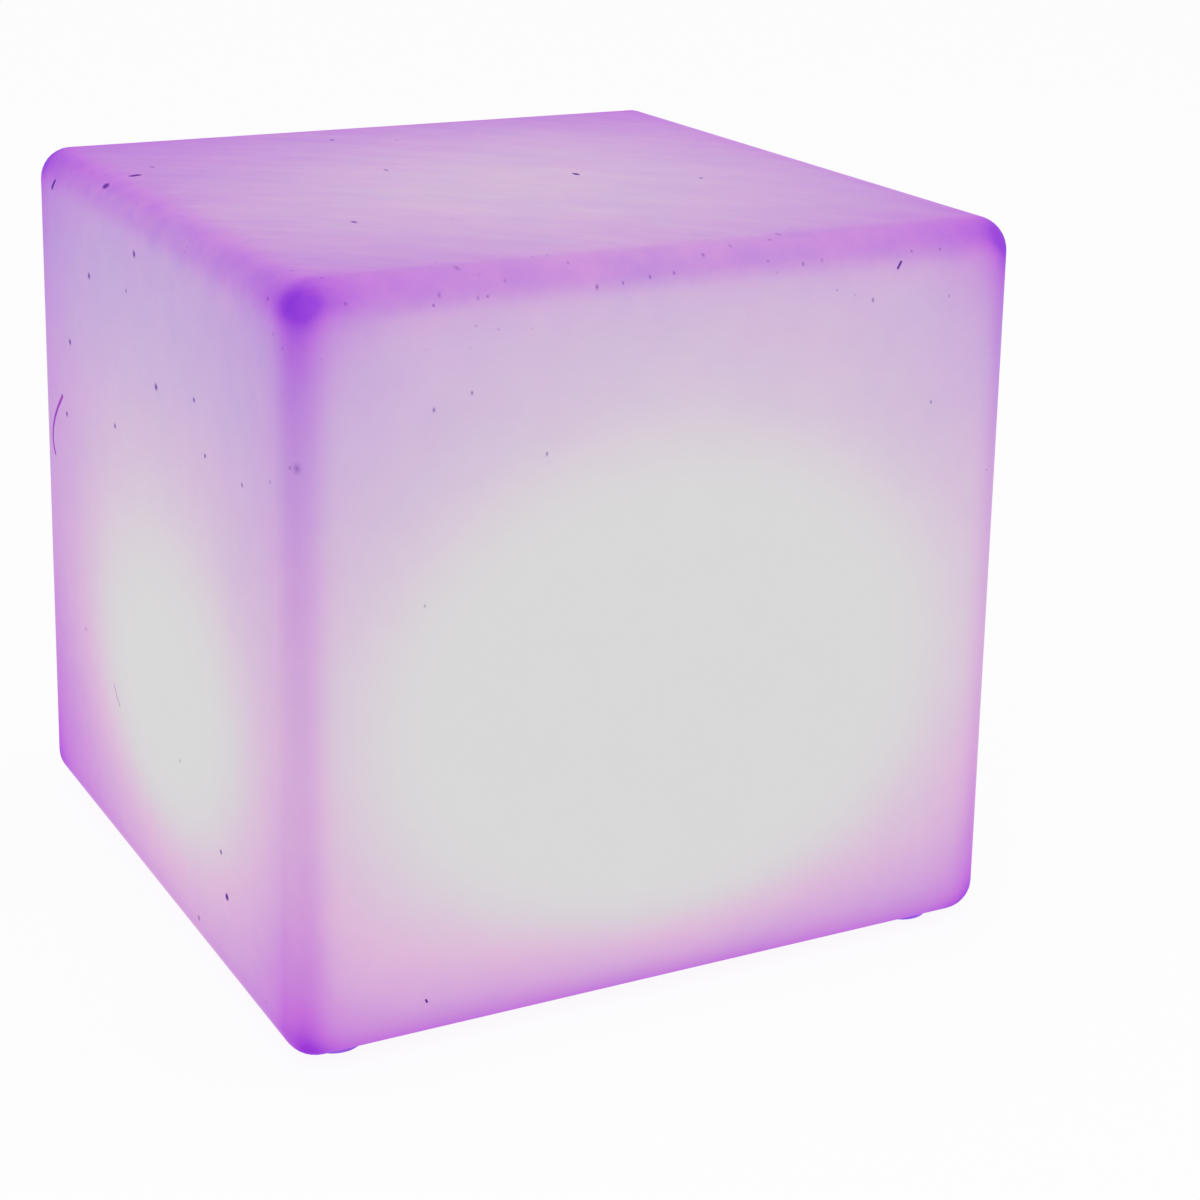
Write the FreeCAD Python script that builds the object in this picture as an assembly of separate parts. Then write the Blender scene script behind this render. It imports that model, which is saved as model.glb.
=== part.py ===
import FreeCAD, Part
import math
import os
from FreeCAD import Vector

# A rechargeable glowing cube for outdoors. A hollow moulded shell stands on four bumper feet. A light
# engine is screwed up into a round well in the shell's floor: a housing with a lamp board under a frosted
# dome on top, two cells and the electronics inside it, and a cover with a button and a charging port below.
# Millimetres, +Z up, origin on the floor under the middle of the cube.

# ---- driving sizes: shell and feet ----
base_side = 400.0
top_side = 390.0
shell_height = 381.0
edge_radius = 17.5
wall = 4.0
foot_height = 5.0
foot_radius = 15.0
foot_inset = 32.5
foot_rounding = 1.0

# ---- well in the shell's floor ----
well_radius = 85.0
well_depth = 12.0
well_rounding = 1.5
opening_radius = 68.0
boss_wall = 3.4
boss_cap = 2.0

# ---- fastener sizes ----
m4_radius = 2.0
m4_head_radius = 3.8
m4_head_height = 2.6
m3_radius = 1.5
m3_head_radius = 2.8
m3_head_height = 2.0
drive_width = 0.9
drive_depth = 1.2
thread_gap = 0.05
hole_clearance = 0.3
pilot_spare = 1.0

# ---- flange joint between the housing and the shell ----
flange_screw_count = 6
flange_screw_length = 14.0
insert_wall = 1.1
insert_length = 9.0
press_gap = 0.05
gasket_thickness = 2.0
gasket_margin = 1.5
flange_thickness = 3.0
flange_clearance = 0.5

# ---- engine housing ----
housing_clearance = 2.0
housing_wall = 2.5
housing_height = 48.0
deck_thickness = 2.5
seal_step_width = 4.0
seal_step_thickness = 2.5
tall_boss_radius = 4.5
tall_boss_inset = 10.0
rib_thickness = 2.0
boss_overlap = 0.5

# ---- base cover ----
cover_thickness = 3.0
cover_clearance = 0.3
cover_gasket_thickness = 1.2
cover_gasket_clearance = 0.5
cover_screw_count = 4
cover_screw_length = 12.0

# ---- dome and its seal ----
dome_rise = 30.0
dome_wall = 2.2
dome_flange_width = 12.0
dome_flange_thickness = 3.0
dome_seal_thickness = 1.0
dome_screw_count = 4
dome_screw_length = 10.0

# ---- lamp board ----
lamp_board_gap = 3.8
board_thickness = 1.6
lamp_standoff_height = 3.0
standoff_radius = 3.0
lamp_screw_inset = 6.0
lamp_screw_count = 3
lamp_screw_length = 5.0
emitter_size = 5.0
emitter_height = 1.4
emitter_ring_count = 2
emitter_ring_step = 18.0
first_ring_count = 6
receiver_length = 6.0
receiver_width = 4.2
receiver_height = 5.0
receiver_lens_radius = 2.2
receiver_lens_rise = 1.0
receiver_lens_drop = 0.5

# ---- battery ----
cell_radius = 9.25
cell_length = 65.2
cell_tip_radius = 2.8
cell_tip_height = 0.8
cell_rounding = 0.6
cell_spacing = 1.0
cell_clearance = 0.3
terminal_thickness = 0.8
terminal_height = 12.0
tray_wall = 1.5
tray_depth = 16.0
tray_screw_spread = 20.0
tray_screw_length = 6.0

# ---- control board ----
control_length = 50.0
control_width = 26.0
control_gap = 3.0
control_standoff_height = 6.0
control_screw_inset = 5.0
control_screw_length = 6.0
chip_row_inset = 7.0
chip_pitch = 9.0
control_chip_side = 7.0
control_chip_height = 1.2
charge_chip_side = 5.0
charge_chip_height = 1.6
coil_side = 8.0
coil_height = 4.0
capacitor_row_inset = 15.5
capacitor_spread = 4.0
capacitor_radius = 2.6
capacitor_height = 6.0
link_pin_count = 5
link_pin_pitch = 2.5
link_pin_radius = 0.35
link_block_width = 2.5
link_block_margin = 1.4
link_inset = 4.0
link_slot_clearance = 1.5
pin_stickout = 0.8

# ---- power button and its switch ----
button_x = -26.0
button_radius = 7.0
button_stickout = 1.5
button_travel = 0.8
button_clearance = 0.3
button_flange_width = 2.5
button_flange_thickness = 1.5
button_rounding = 0.6
button_rest_gap = 0.1
button_post_radius = 2.5
button_post_length = 1.9
collar_wall = 2.5
collar_height = 3.5
seal_height = 1.5
seal_width = 1.2
running_gap = 0.05
plunger_radius = 1.7
plunger_shown = 0.9
plunger_hidden = 1.4
plunger_spare = 0.3
switch_side = 12.0
switch_height = 4.3
switch_board_width = 16.0
switch_board_length = 36.0
switch_screw_spread = 14.0
switch_post_radius = 2.8
switch_screw_length = 6.0

# ---- charging port ----
port_x = 20.0
recess_radius = 8.2
recess_depth = 4.0
recess_floor = 2.0
recess_wall = 2.5
jack_neck_radius = 4.0
jack_neck_length = 4.2
jack_neck_clearance = 0.2
jack_bore_radius = 2.75
jack_bore_depth = 9.7
jack_pin_radius = 1.05
jack_pin_setback = 1.2
jack_side = 12.0
jack_height = 11.0
nut_flats = 10.0
nut_thickness = 1.8

# ---- port cap and its strap ----
cap_radius = 10.5
cap_thickness = 2.0
cap_gap = 0.1
cap_plug_radius = 7.6
cap_plug_wall = 1.2
cap_plug_depth = 3.0
cap_tab_length = 3.5
cap_tab_width = 7.0
strap_reach = 15.0
strap_width = 5.0
strap_thickness = 1.4
strap_gap = 0.3
anchor_length = 7.0
anchor_width = 7.0
anchor_thickness = 1.4
anchor_stem_radius = 1.5
anchor_bead_radius = 2.2
anchor_bead_height = 1.2

# ---- leads ----
lead_radius = 0.7
lead_pitch = 2.0
lead_bend_share = 0.45
battery_lead_x = -14.0
battery_lead_drop = 13.0
jack_lead_height = 6.0
lead_landing = 12.0

# ---- places worked out from the sizes above ----
shell_low = foot_height
ledge_low = shell_low + well_depth
ledge_top = ledge_low + wall
flange_top = ledge_low - gasket_thickness
flange_low = flange_top - flange_thickness
insert_radius = m4_radius + thread_gap + insert_wall
insert_hole_radius = insert_radius + press_gap
flange_screw_circle = (well_radius + opening_radius) / 2
housing_radius = opening_radius - housing_clearance
housing_inside = housing_radius - housing_wall
tall_boss_circle = housing_inside - tall_boss_inset
deck_top = flange_low + housing_height
deck_low = deck_top - deck_thickness
cover_low = flange_low
cover_top = cover_low + cover_thickness
cover_radius = housing_inside - cover_clearance
seal_step_low = cover_top + cover_gasket_thickness
seal_step_top = seal_step_low + seal_step_thickness
seal_step_inside = housing_inside - seal_step_width
dome_base_radius = housing_radius - dome_flange_width
dome_screw_circle = housing_radius - dome_flange_width / 2
dome_boss_radius = housing_inside - dome_screw_circle + boss_overlap
dome_flange_low = deck_top + dome_seal_thickness
dome_flange_top = dome_flange_low + dome_flange_thickness
lamp_board_radius = dome_base_radius - dome_wall - lamp_board_gap
lamp_screw_circle = lamp_board_radius - lamp_screw_inset
lamp_board_low = deck_top + lamp_standoff_height
lamp_board_top = lamp_board_low + board_thickness
tray_top = deck_low
tray_floor_low = tray_top - tray_wall
cell_axis_z = tray_floor_low - cell_clearance - cell_radius
cell_axis_y = cell_spacing / 2 + cell_radius
tray_inside_x = cell_length / 2 + cell_tip_height + terminal_thickness + cell_clearance
tray_inside_y = cell_spacing / 2 + 2 * cell_radius + cell_clearance
tray_outside_x = tray_inside_x + tray_wall
tray_outside_y = tray_inside_y + tray_wall
control_y = -(tray_outside_y + control_gap + control_width / 2)
control_top = deck_low - control_standoff_height
control_low = control_top - board_thickness
control_screw_x = control_length / 2 - control_screw_inset
link_y = control_y + control_width / 2 - link_inset
link_block_length = (link_pin_count - 1) * link_pin_pitch + 2 * link_block_margin
collar_top = cover_top + collar_height
button_low = cover_low - button_stickout
button_flange_low = collar_top + button_rest_gap
button_flange_top = button_flange_low + button_flange_thickness
plunger_low = button_flange_top + button_post_length
switch_low = plunger_low + plunger_shown
switch_board_low = switch_low + switch_height
switch_board_top = switch_board_low + board_thickness
recess_top = cover_low + recess_depth
cup_top = recess_top + recess_floor
jack_neck_low = cup_top - jack_neck_length
cap_top = cover_low - cap_gap
cap_low = cap_top - cap_thickness
strap_axis_x = port_x - strap_reach
strap_axis_z = (cap_top + cap_low) / 2
overshoot = 1.0


# ---- helpers ----
def disc(radius, z_low, z_high, x=0.0, y=0.0):
    """An upright cylinder between two heights."""
    return Part.makeCylinder(radius, z_high - z_low, Vector(x, y, z_low))


def slab(size_x, size_y, z_low, z_high, x=0.0, y=0.0):
    """An upright box between two heights, centred on x, y."""
    return Part.makeBox(size_x, size_y, z_high - z_low, Vector(x - size_x / 2, y - size_y / 2, z_low))


def through(radius, z_low, z_high, x=0.0, y=0.0):
    """A drill that runs clear of both faces between two heights."""
    return disc(radius, z_low - overshoot, z_high + overshoot, x, y)


def ring(outer, inner, z_low, z_high, x=0.0, y=0.0):
    """An upright tube between two heights."""
    return disc(outer, z_low, z_high, x, y).cut(through(inner, z_low, z_high, x, y))


def joined(shapes):
    """One solid out of pieces that overlap or touch."""
    solid = shapes[0].multiFuse(shapes[1:]) if len(shapes) > 1 else shapes[0]
    return solid.removeSplitter()


def around(count, radius, start_deg=0.0):
    """Evenly spaced points on a circle."""
    angles = [math.radians(start_deg + 360.0 * step / count) for step in range(count)]
    return [(radius * math.cos(angle), radius * math.sin(angle)) for angle in angles]


def round_edges(shape, radius, keep):
    """Round those edges whose middle point passes the keep test."""
    edges = [edge for edge in shape.Edges if keep(edge)]
    return shape.makeFillet(radius, edges)


def on_circle(edge, radius, z):
    """True for an edge on a circle of this radius at this height."""
    if edge.Degenerated or not isinstance(edge.Curve, Part.Circle):
        return False
    curve = edge.Curve
    return abs(curve.Radius - radius) < 0.01 and abs(curve.Center.z - z) < 0.01


def screw(x, y, seat_z, upwards, length, radius, head_radius, head_height):
    """A pan head screw with a cross drive. Its head rests on seat_z and its shank points up or down."""
    side = 1.0 if upwards else -1.0
    head_end = seat_z - side * head_height
    shank_end = seat_z + side * length
    head = disc(head_radius, min(seat_z, head_end), max(seat_z, head_end), x, y)
    head = round_edges(head, head_height * 0.4, lambda edge: on_circle(edge, head_radius, head_end))
    shank = disc(radius, min(seat_z, shank_end), max(seat_z, shank_end), x, y)
    drive_end = head_end + side * drive_depth
    low = min(head_end - side * overshoot, drive_end)
    high = max(head_end - side * overshoot, drive_end)
    long_slot = slab(head_radius * 1.1, drive_width, low, high, x, y)
    cross_slot = slab(drive_width, head_radius * 1.1, low, high, x, y)
    return head.fuse(shank).cut(long_slot.fuse(cross_slot)).removeSplitter()


def m4_screw(x, y, seat_z, upwards, length):
    """A machine screw for the threaded inserts."""
    return screw(x, y, seat_z, upwards, length, m4_radius, m4_head_radius, m4_head_height)


def m3_screw(x, y, seat_z, upwards, length):
    """A small thread-forming screw for plastic bosses."""
    return screw(x, y, seat_z, upwards, length, m3_radius, m3_head_radius, m3_head_height)


def pilot(x, y, seat_z, upwards, length):
    """The blind hole that takes a small screw of this length."""
    side = 1.0 if upwards else -1.0
    end = seat_z + side * (length + pilot_spare)
    return disc(m3_radius + thread_gap, min(seat_z, end), max(seat_z, end), x, y)


def lead_pair(points, across):
    """Two insulated wires side by side: straight runs joined by tangent arcs along the same points."""
    wires = []
    for side in (-0.5, 0.5):
        shift = across * (side * lead_pitch)
        wires.append(tube([point + shift for point in points]))
    return Part.makeCompound(wires)


def tube(points):
    """A round wire along points, with each corner an arc tangent to its two runs."""
    edges = []
    start = points[0]
    for before, corner, after in zip(points, points[1:], points[2:]):
        back = before - corner
        ahead = after - corner
        reach = lead_bend_share * min(back.Length, ahead.Length)
        back.normalize()
        ahead.normalize()
        bend_in = corner + back * reach
        bend_out = corner + ahead * reach
        half_turn = (math.pi - back.getAngle(ahead)) / 2
        bend_radius = reach / math.tan(half_turn)
        middle = back + ahead
        middle.normalize()
        bend_centre = corner + middle * (bend_radius / math.cos(half_turn))
        bend_mid = bend_centre - middle * bend_radius
        edges.append(Part.LineSegment(start, bend_in).toShape())
        edges.append(Part.Arc(bend_in, bend_mid, bend_out).toShape())
        start = bend_out
    edges.append(Part.LineSegment(start, points[-1]).toShape())
    path = Part.Wire(edges)
    section = Part.Wire([Part.Circle(points[0], points[1] - points[0], lead_radius).toShape()])
    return path.makePipeShell([section], True, True)


# ---- shell ----
def cube_form(inset):
    """The drafted cube with every face moved in by inset and every edge rounded."""
    slope = (base_side - top_side) / 2 / shell_height
    sideways = inset * math.hypot(1.0, slope)
    low_half = base_side / 2 - slope * inset - sideways
    high_half = top_side / 2 + slope * inset - sideways
    levels = ((low_half, shell_low + inset), (high_half, shell_low + shell_height - inset))
    squares = []
    for half, z in levels:
        signs = ((-1, -1), (1, -1), (1, 1), (-1, 1), (-1, -1))
        squares.append(Part.makePolygon([Vector(half * x, half * y, z) for x, y in signs]))
    block = Part.makeLoft(squares, True, True)
    return block.makeFillet(edge_radius - inset, block.Edges)


def cube_shell():
    """One hollow moulding, open only at the round well in its floor. The well's ledge has screw bosses."""
    hollow = cube_form(0.0).cut(cube_form(wall))
    boss_radius = insert_hole_radius + boss_wall
    hole_top = ledge_low + press_gap + insert_length + pilot_spare + (flange_screw_length - insert_length) / 2
    places = around(flange_screw_count, flange_screw_circle, 30.0)
    added = [hollow, disc(well_radius + wall, shell_low, ledge_top)]
    added += [disc(boss_radius, ledge_low, hole_top + boss_cap, x, y) for x, y in places]
    shell = joined(added)
    shell = shell.cut(disc(well_radius, shell_low - overshoot, ledge_low))
    shell = shell.cut(through(opening_radius, ledge_low, ledge_top))
    for x, y in places:
        shell = shell.cut(disc(insert_hole_radius, ledge_low - overshoot, hole_top, x, y))
    return round_edges(shell, well_rounding, lambda edge: on_circle(edge, well_radius, shell_low))


def threaded_inserts():
    """Brass sleeves pressed into the ledge's bosses."""
    low = ledge_low + press_gap
    inner = m4_radius + thread_gap
    places = around(flange_screw_count, flange_screw_circle, 30.0)
    return Part.makeCompound([ring(insert_radius, inner, low, low + insert_length, x, y) for x, y in places])


def foot(side_x, side_y):
    """A stick-on bumper with a rounded lower edge."""
    place = base_side / 2 - foot_inset
    pad = disc(foot_radius, 0.0, foot_height, side_x * place, side_y * place)
    return round_edges(pad, foot_rounding, lambda edge: on_circle(edge, foot_radius, 0.0))


# ---- flange joint ----
def mounting_gasket():
    """A flat ring between the housing's flange and the shell's ledge."""
    outer = well_radius - gasket_margin
    inner = opening_radius + gasket_margin
    gasket = ring(outer, inner, flange_top, ledge_low)
    for x, y in around(flange_screw_count, flange_screw_circle, 30.0):
        gasket = gasket.cut(through(m4_radius + 2 * hole_clearance, flange_top, ledge_low, x, y))
    return gasket


def flange_screws():
    """The screws that hold the light engine in the shell."""
    places = around(flange_screw_count, flange_screw_circle, 30.0)
    return Part.makeCompound([m4_screw(x, y, flange_low, True, flange_screw_length) for x, y in places])


def engine_housing():
    """A flanged cup, open below, whose deck carries the lamp above and the cells and control board below."""
    cup = disc(housing_radius, flange_low, deck_top)
    cup = cup.fuse(disc(well_radius - flange_clearance, flange_low, flange_top))
    cup = cup.cut(disc(housing_inside, flange_low - overshoot, deck_low))
    added = [cup, ring(housing_inside + press_gap, seal_step_inside, seal_step_low, seal_step_top)]
    tall_bosses = around(cover_screw_count, tall_boss_circle, 45.0)
    added += [disc(tall_boss_radius, cover_top, deck_top, x, y) for x, y in tall_bosses]
    for turn in range(cover_screw_count):
        length = housing_inside + press_gap - tall_boss_circle
        middle = tall_boss_circle + length / 2
        rib = slab(length, rib_thickness, seal_step_top, deck_top, middle, 0.0)
        rib.rotate(Vector(0, 0, 0), Vector(0, 0, 1), 45.0 + 360.0 * turn / cover_screw_count)
        added.append(rib)
    dome_bosses = around(dome_screw_count, dome_screw_circle)
    boss_low = deck_top - dome_screw_length
    added += [disc(dome_boss_radius, boss_low, deck_top, x, y) for x, y in dome_bosses]
    lamp_bosses = around(lamp_screw_count, lamp_screw_circle, 90.0)
    added += [disc(standoff_radius, deck_low, lamp_board_low, x, y) for x, y in lamp_bosses]
    tray_bosses = [(-tray_screw_spread, 0.0), (tray_screw_spread, 0.0)]
    added += [disc(standoff_radius, deck_low, lamp_board_low, x, y) for x, y in tray_bosses]
    control_bosses = [(-control_screw_x, control_y), (control_screw_x, control_y)]
    added += [disc(standoff_radius, control_top, deck_top, x, y) for x, y in control_bosses]
    housing = joined(added)
    cuts = [pilot(x, y, cover_top, True, cover_screw_length) for x, y in tall_bosses]
    cuts += [pilot(x, y, deck_top, False, dome_screw_length - pilot_spare * 2) for x, y in dome_bosses]
    cuts += [pilot(x, y, lamp_board_low, False, lamp_screw_length - pilot_spare) for x, y in lamp_bosses]
    tray_grip = tray_screw_length - tray_wall - pilot_spare / 2
    cuts += [pilot(x, y, deck_low, True, tray_grip) for x, y in tray_bosses]
    cuts += [pilot(x, y, control_top, True, control_screw_length) for x, y in control_bosses]
    for x, y in around(flange_screw_count, flange_screw_circle, 30.0):
        cuts.append(through(m4_radius + hole_clearance, flange_low, flange_top, x, y))
    slot_x = link_block_length + 2 * link_slot_clearance
    slot_y = link_block_width + 2 * link_slot_clearance
    cuts.append(slab(slot_x, slot_y, deck_low - overshoot, deck_top + overshoot, 0.0, link_y))
    return housing.cut(joined(cuts)).removeSplitter()


# ---- dome ----
def dome_cap(base_radius, rise, base_z):
    """A solid spherical cap that stands on base_z."""
    sphere_radius = (base_radius ** 2 + rise ** 2) / (2 * rise)
    centre = Vector(0, 0, base_z + rise - sphere_radius)
    ball = Part.makeSphere(sphere_radius, centre)
    return ball.common(disc(base_radius + overshoot, base_z, base_z + rise + overshoot))


def dome_diffuser():
    """A frosted spherical cap on a screwed flange."""
    sphere_radius = (dome_base_radius ** 2 + dome_rise ** 2) / (2 * dome_rise)
    below_base = sphere_radius - dome_rise
    inner_radius = math.sqrt((sphere_radius - dome_wall) ** 2 - below_base ** 2)
    flange = disc(housing_radius, dome_flange_low, dome_flange_top)
    dome = flange.fuse(dome_cap(dome_base_radius, dome_rise, dome_flange_top))
    dome = dome.cut(dome_cap(inner_radius, dome_rise - dome_wall, dome_flange_top))
    dome = dome.cut(disc(inner_radius, dome_flange_low - overshoot, dome_flange_top))
    for x, y in around(dome_screw_count, dome_screw_circle):
        hole = disc(m3_radius + hole_clearance, dome_flange_low - overshoot, dome_flange_top, x, y)
        pocket = disc(m3_head_radius + hole_clearance, dome_flange_top, dome_flange_top + dome_rise, x, y)
        dome = dome.cut(hole.fuse(pocket))
    return dome.removeSplitter()


def dome_seal():
    """A flat ring under the dome's flange."""
    seal = ring(housing_radius - press_gap, dome_base_radius, deck_top, dome_flange_low)
    for x, y in around(dome_screw_count, dome_screw_circle):
        seal = seal.cut(through(m3_radius + 2 * hole_clearance, deck_top, dome_flange_low, x, y))
    return seal


def dome_screws():
    """The screws through the dome's flange into the deck."""
    length = dome_screw_length
    places = around(dome_screw_count, dome_screw_circle)
    return Part.makeCompound([m3_screw(x, y, dome_flange_top, False, length) for x, y in places])


# ---- lamp board ----
def link_pin_places():
    """The pins that join the lamp board to the control board."""
    first = -(link_pin_count - 1) * link_pin_pitch / 2
    return [(first + step * link_pin_pitch, link_y) for step in range(link_pin_count)]


def link_pin_holes(piece):
    """The piece with a hole for each link pin."""
    for x, y in link_pin_places():
        piece = piece.cut(through(link_pin_radius + press_gap, control_low, lamp_board_top, x, y))
    return piece


def lamp_board():
    """The round board that carries the emitters."""
    board = disc(lamp_board_radius, lamp_board_low, lamp_board_top)
    for x, y in around(lamp_screw_count, lamp_screw_circle, 90.0):
        board = board.cut(through(m3_radius + hole_clearance, lamp_board_low, lamp_board_top, x, y))
    return link_pin_holes(board)


def emitters():
    """Square colour-mixing emitters in two rings."""
    chips = []
    emitter_top = lamp_board_top + emitter_height
    for turn in range(1, emitter_ring_count + 1):
        count = first_ring_count * turn
        for x, y in around(count, emitter_ring_step * turn, 180.0 / count):
            chips.append(slab(emitter_size, emitter_size, lamp_board_top, emitter_top, x, y))
    return Part.makeCompound(chips)


def remote_receiver():
    """The infrared receiver in the middle of the lamp board, a block with a half-round lens."""
    high = lamp_board_top + receiver_height
    lens_low = lamp_board_top + receiver_lens_rise
    block = slab(receiver_length, receiver_width, lamp_board_top, high)
    lens = disc(receiver_lens_radius, lens_low, high - receiver_lens_drop, 0.0, -receiver_width / 2)
    return joined([block, lens])


def lamp_screws():
    """The screws that hold the lamp board on its standoffs."""
    places = around(lamp_screw_count, lamp_screw_circle, 90.0)
    return Part.makeCompound([m3_screw(x, y, lamp_board_top, False, lamp_screw_length) for x, y in places])


def link_block():
    """The plastic spacer of the pin header between the two boards."""
    block = slab(link_block_length, link_block_width, control_top, lamp_board_low, 0.0, link_y)
    return link_pin_holes(block)


def link_pins():
    """The header's pins, which stand through both boards."""
    low = control_low - pin_stickout
    high = lamp_board_top + pin_stickout
    return Part.makeCompound([disc(link_pin_radius, low, high, x, y) for x, y in link_pin_places()])


# ---- battery ----
def battery_tray():
    """A moulded tray, open below, screwed under the deck."""
    low = tray_top - tray_depth
    tray = slab(2 * tray_outside_x, 2 * tray_outside_y, low, tray_top)
    tray = tray.cut(slab(2 * tray_inside_x, 2 * tray_inside_y, low - overshoot, tray_floor_low))
    for x in (-tray_screw_spread, tray_screw_spread):
        tray = tray.cut(through(m3_radius + hole_clearance, low, tray_top, x))
    return tray


def battery_cell(side):
    """A round cell along X with a raised tip. side is the cell's side of the tray and of its tip."""
    start = Vector(-cell_length / 2, side * cell_axis_y, cell_axis_z)
    body = Part.makeCylinder(cell_radius, cell_length, start, Vector(1, 0, 0))
    rims = [edge for edge in body.Edges if isinstance(edge.Curve, Part.Circle)]
    body = body.makeFillet(cell_rounding, rims)
    tip_start = Vector(side * cell_length / 2, side * cell_axis_y, cell_axis_z)
    tip = Part.makeCylinder(cell_tip_radius, cell_tip_height, tip_start, Vector(side, 0, 0))
    return body.fuse(tip)


def battery_terminals():
    """Sprung plates at the tray's ends. Each reaches from the end wall to its cell."""
    plates = []
    for side in (-1, 1):
        for end in (-1, 1):
            at_tip = side == end
            cell_end = cell_length / 2 + (cell_tip_height if at_tip else 0.0)
            depth = tray_inside_x - cell_end
            x = end * (cell_end + depth / 2)
            low = cell_axis_z - terminal_height / 2
            plates.append(slab(depth, terminal_height, low, low + terminal_height, x, side * cell_axis_y))
    return Part.makeCompound(plates)


def tray_screws():
    """The screws that hold the tray under the deck, in the valley between the cells."""
    places = (-tray_screw_spread, tray_screw_spread)
    return Part.makeCompound([m3_screw(x, 0.0, tray_floor_low, True, tray_screw_length) for x in places])


# ---- control board ----
def control_board():
    """The charging and control board beside the battery tray."""
    board = slab(control_length, control_width, control_low, control_top, 0.0, control_y)
    for x in (-control_screw_x, control_screw_x):
        board = board.cut(through(m3_radius + hole_clearance, control_low, control_top, x, control_y))
    return link_pin_holes(board)


def board_components():
    """The control chip, charging chip, coil and two capacitors on the control board's lower side."""
    front_edge = control_y - control_width / 2
    chips = (
        (control_chip_side, control_chip_height, -chip_pitch),
        (charge_chip_side, charge_chip_height, 0.0),
        (coil_side, coil_height, chip_pitch),
    )
    pieces = []
    for side, height, x in chips:
        pieces.append(slab(side, side, control_low - height, control_low, x, front_edge + chip_row_inset))
    for x in (-capacitor_spread, capacitor_spread):
        low = control_low - capacitor_height
        pieces.append(disc(capacitor_radius, low, control_low, x, front_edge + capacitor_row_inset))
    return Part.makeCompound(pieces)


def control_screws():
    """The screws that hold the control board under the deck."""
    places = (-control_screw_x, control_screw_x)
    length = control_screw_length
    return Part.makeCompound([m3_screw(x, control_y, control_low, True, length) for x in places])


# ---- base cover ----
def base_cover():
    """The round cover that closes the housing, with the button's collar and the charging port's cup."""
    button_bore = button_radius + button_clearance
    added = [
        disc(cover_radius, cover_low, cover_top),
        disc(button_bore + collar_wall, cover_low, collar_top, button_x),
        disc(recess_radius + recess_wall, cover_low, cup_top, port_x),
    ]
    posts = [(button_x, -switch_screw_spread), (button_x, switch_screw_spread)]
    added += [disc(switch_post_radius, cover_low, switch_board_low, x, y) for x, y in posts]
    cover = joined(added)
    groove_low = cover_top + (collar_height - seal_height) / 2 - running_gap
    groove_high = groove_low + seal_height + 2 * running_gap
    cuts = [
        through(button_bore, cover_low, collar_top, button_x),
        disc(button_radius + running_gap + seal_width + running_gap, groove_low, groove_high, button_x),
        disc(recess_radius, cover_low - overshoot, recess_top, port_x),
        through(jack_neck_radius + jack_neck_clearance, recess_top, cup_top, port_x),
        through(anchor_stem_radius + press_gap, cover_low, cover_top, anchor_x()),
    ]
    cuts += [pilot(x, y, switch_board_low, False, switch_screw_length) for x, y in posts]
    for x, y in around(cover_screw_count, tall_boss_circle, 45.0):
        cuts.append(through(m3_radius + hole_clearance, cover_low, cover_top, x, y))
    for cutter in cuts:
        cover = cover.cut(cutter)
    return cover


def cover_gasket():
    """A flat ring between the cover's rim and the step inside the housing."""
    outer = housing_inside - cover_gasket_clearance
    return ring(outer, seal_step_inside, cover_top, seal_step_low)


def cover_screws():
    """The screws up through the cover into the housing's tall bosses."""
    places = around(cover_screw_count, tall_boss_circle, 45.0)
    return Part.makeCompound([m3_screw(x, y, cover_low, True, cover_screw_length) for x, y in places])


# ---- power button ----
def power_button():
    """A push button that slides up in its collar. Its flange keeps it in, and its post meets the plunger."""
    flange_radius = button_radius + button_flange_width
    cap = disc(button_radius, button_low, button_flange_low, button_x)
    cap = round_edges(cap, button_rounding, lambda edge: on_circle(edge, button_radius, button_low))
    flange = disc(flange_radius, button_flange_low, button_flange_top, button_x)
    post = disc(button_post_radius, button_flange_low, plunger_low, button_x)
    return joined([cap, flange, post])


def button_seal():
    """A square ring in the collar's groove, round the button."""
    low = cover_top + (collar_height - seal_height) / 2
    inner = button_radius + running_gap
    return ring(inner + seal_width, inner, low, low + seal_height, button_x)


def switch_body():
    """The snap switch above the button, with a bore for its plunger."""
    body = slab(switch_side, switch_side, switch_low, switch_board_low, button_x)
    bore_top = plunger_low + plunger_shown + plunger_hidden + button_travel + plunger_spare
    return body.cut(disc(plunger_radius + running_gap, switch_low - overshoot, bore_top, button_x))


def switch_plunger():
    """The switch's plunger, which the button pushes."""
    return disc(plunger_radius, plunger_low, plunger_low + plunger_shown + plunger_hidden, button_x)


def switch_board():
    """The small board that the switch is soldered to."""
    board = slab(switch_board_width, switch_board_length, switch_board_low, switch_board_top, button_x)
    hole_radius = m3_radius + hole_clearance
    for y in (-switch_screw_spread, switch_screw_spread):
        board = board.cut(through(hole_radius, switch_board_low, switch_board_top, button_x, y))
    return board


def switch_screws():
    """The screws down through the switch board into the cover's posts."""
    length = switch_screw_length
    places = (-switch_screw_spread, switch_screw_spread)
    return Part.makeCompound([m3_screw(button_x, y, switch_board_top, False, length) for y in places])


# ---- charging port ----
def charging_jack():
    """A panel jack: a block above the port's cup and a threaded neck with a blind bore through its floor."""
    block = slab(jack_side, jack_side, cup_top, cup_top + jack_height, port_x)
    neck = disc(jack_neck_radius, jack_neck_low, cup_top, port_x)
    bore = disc(jack_bore_radius, jack_neck_low - overshoot, jack_neck_low + jack_bore_depth, port_x)
    return joined([block, neck]).cut(bore)


def jack_pin():
    """The jack's centre contact."""
    return disc(jack_pin_radius, jack_neck_low + jack_pin_setback, jack_neck_low + jack_bore_depth, port_x)


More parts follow.
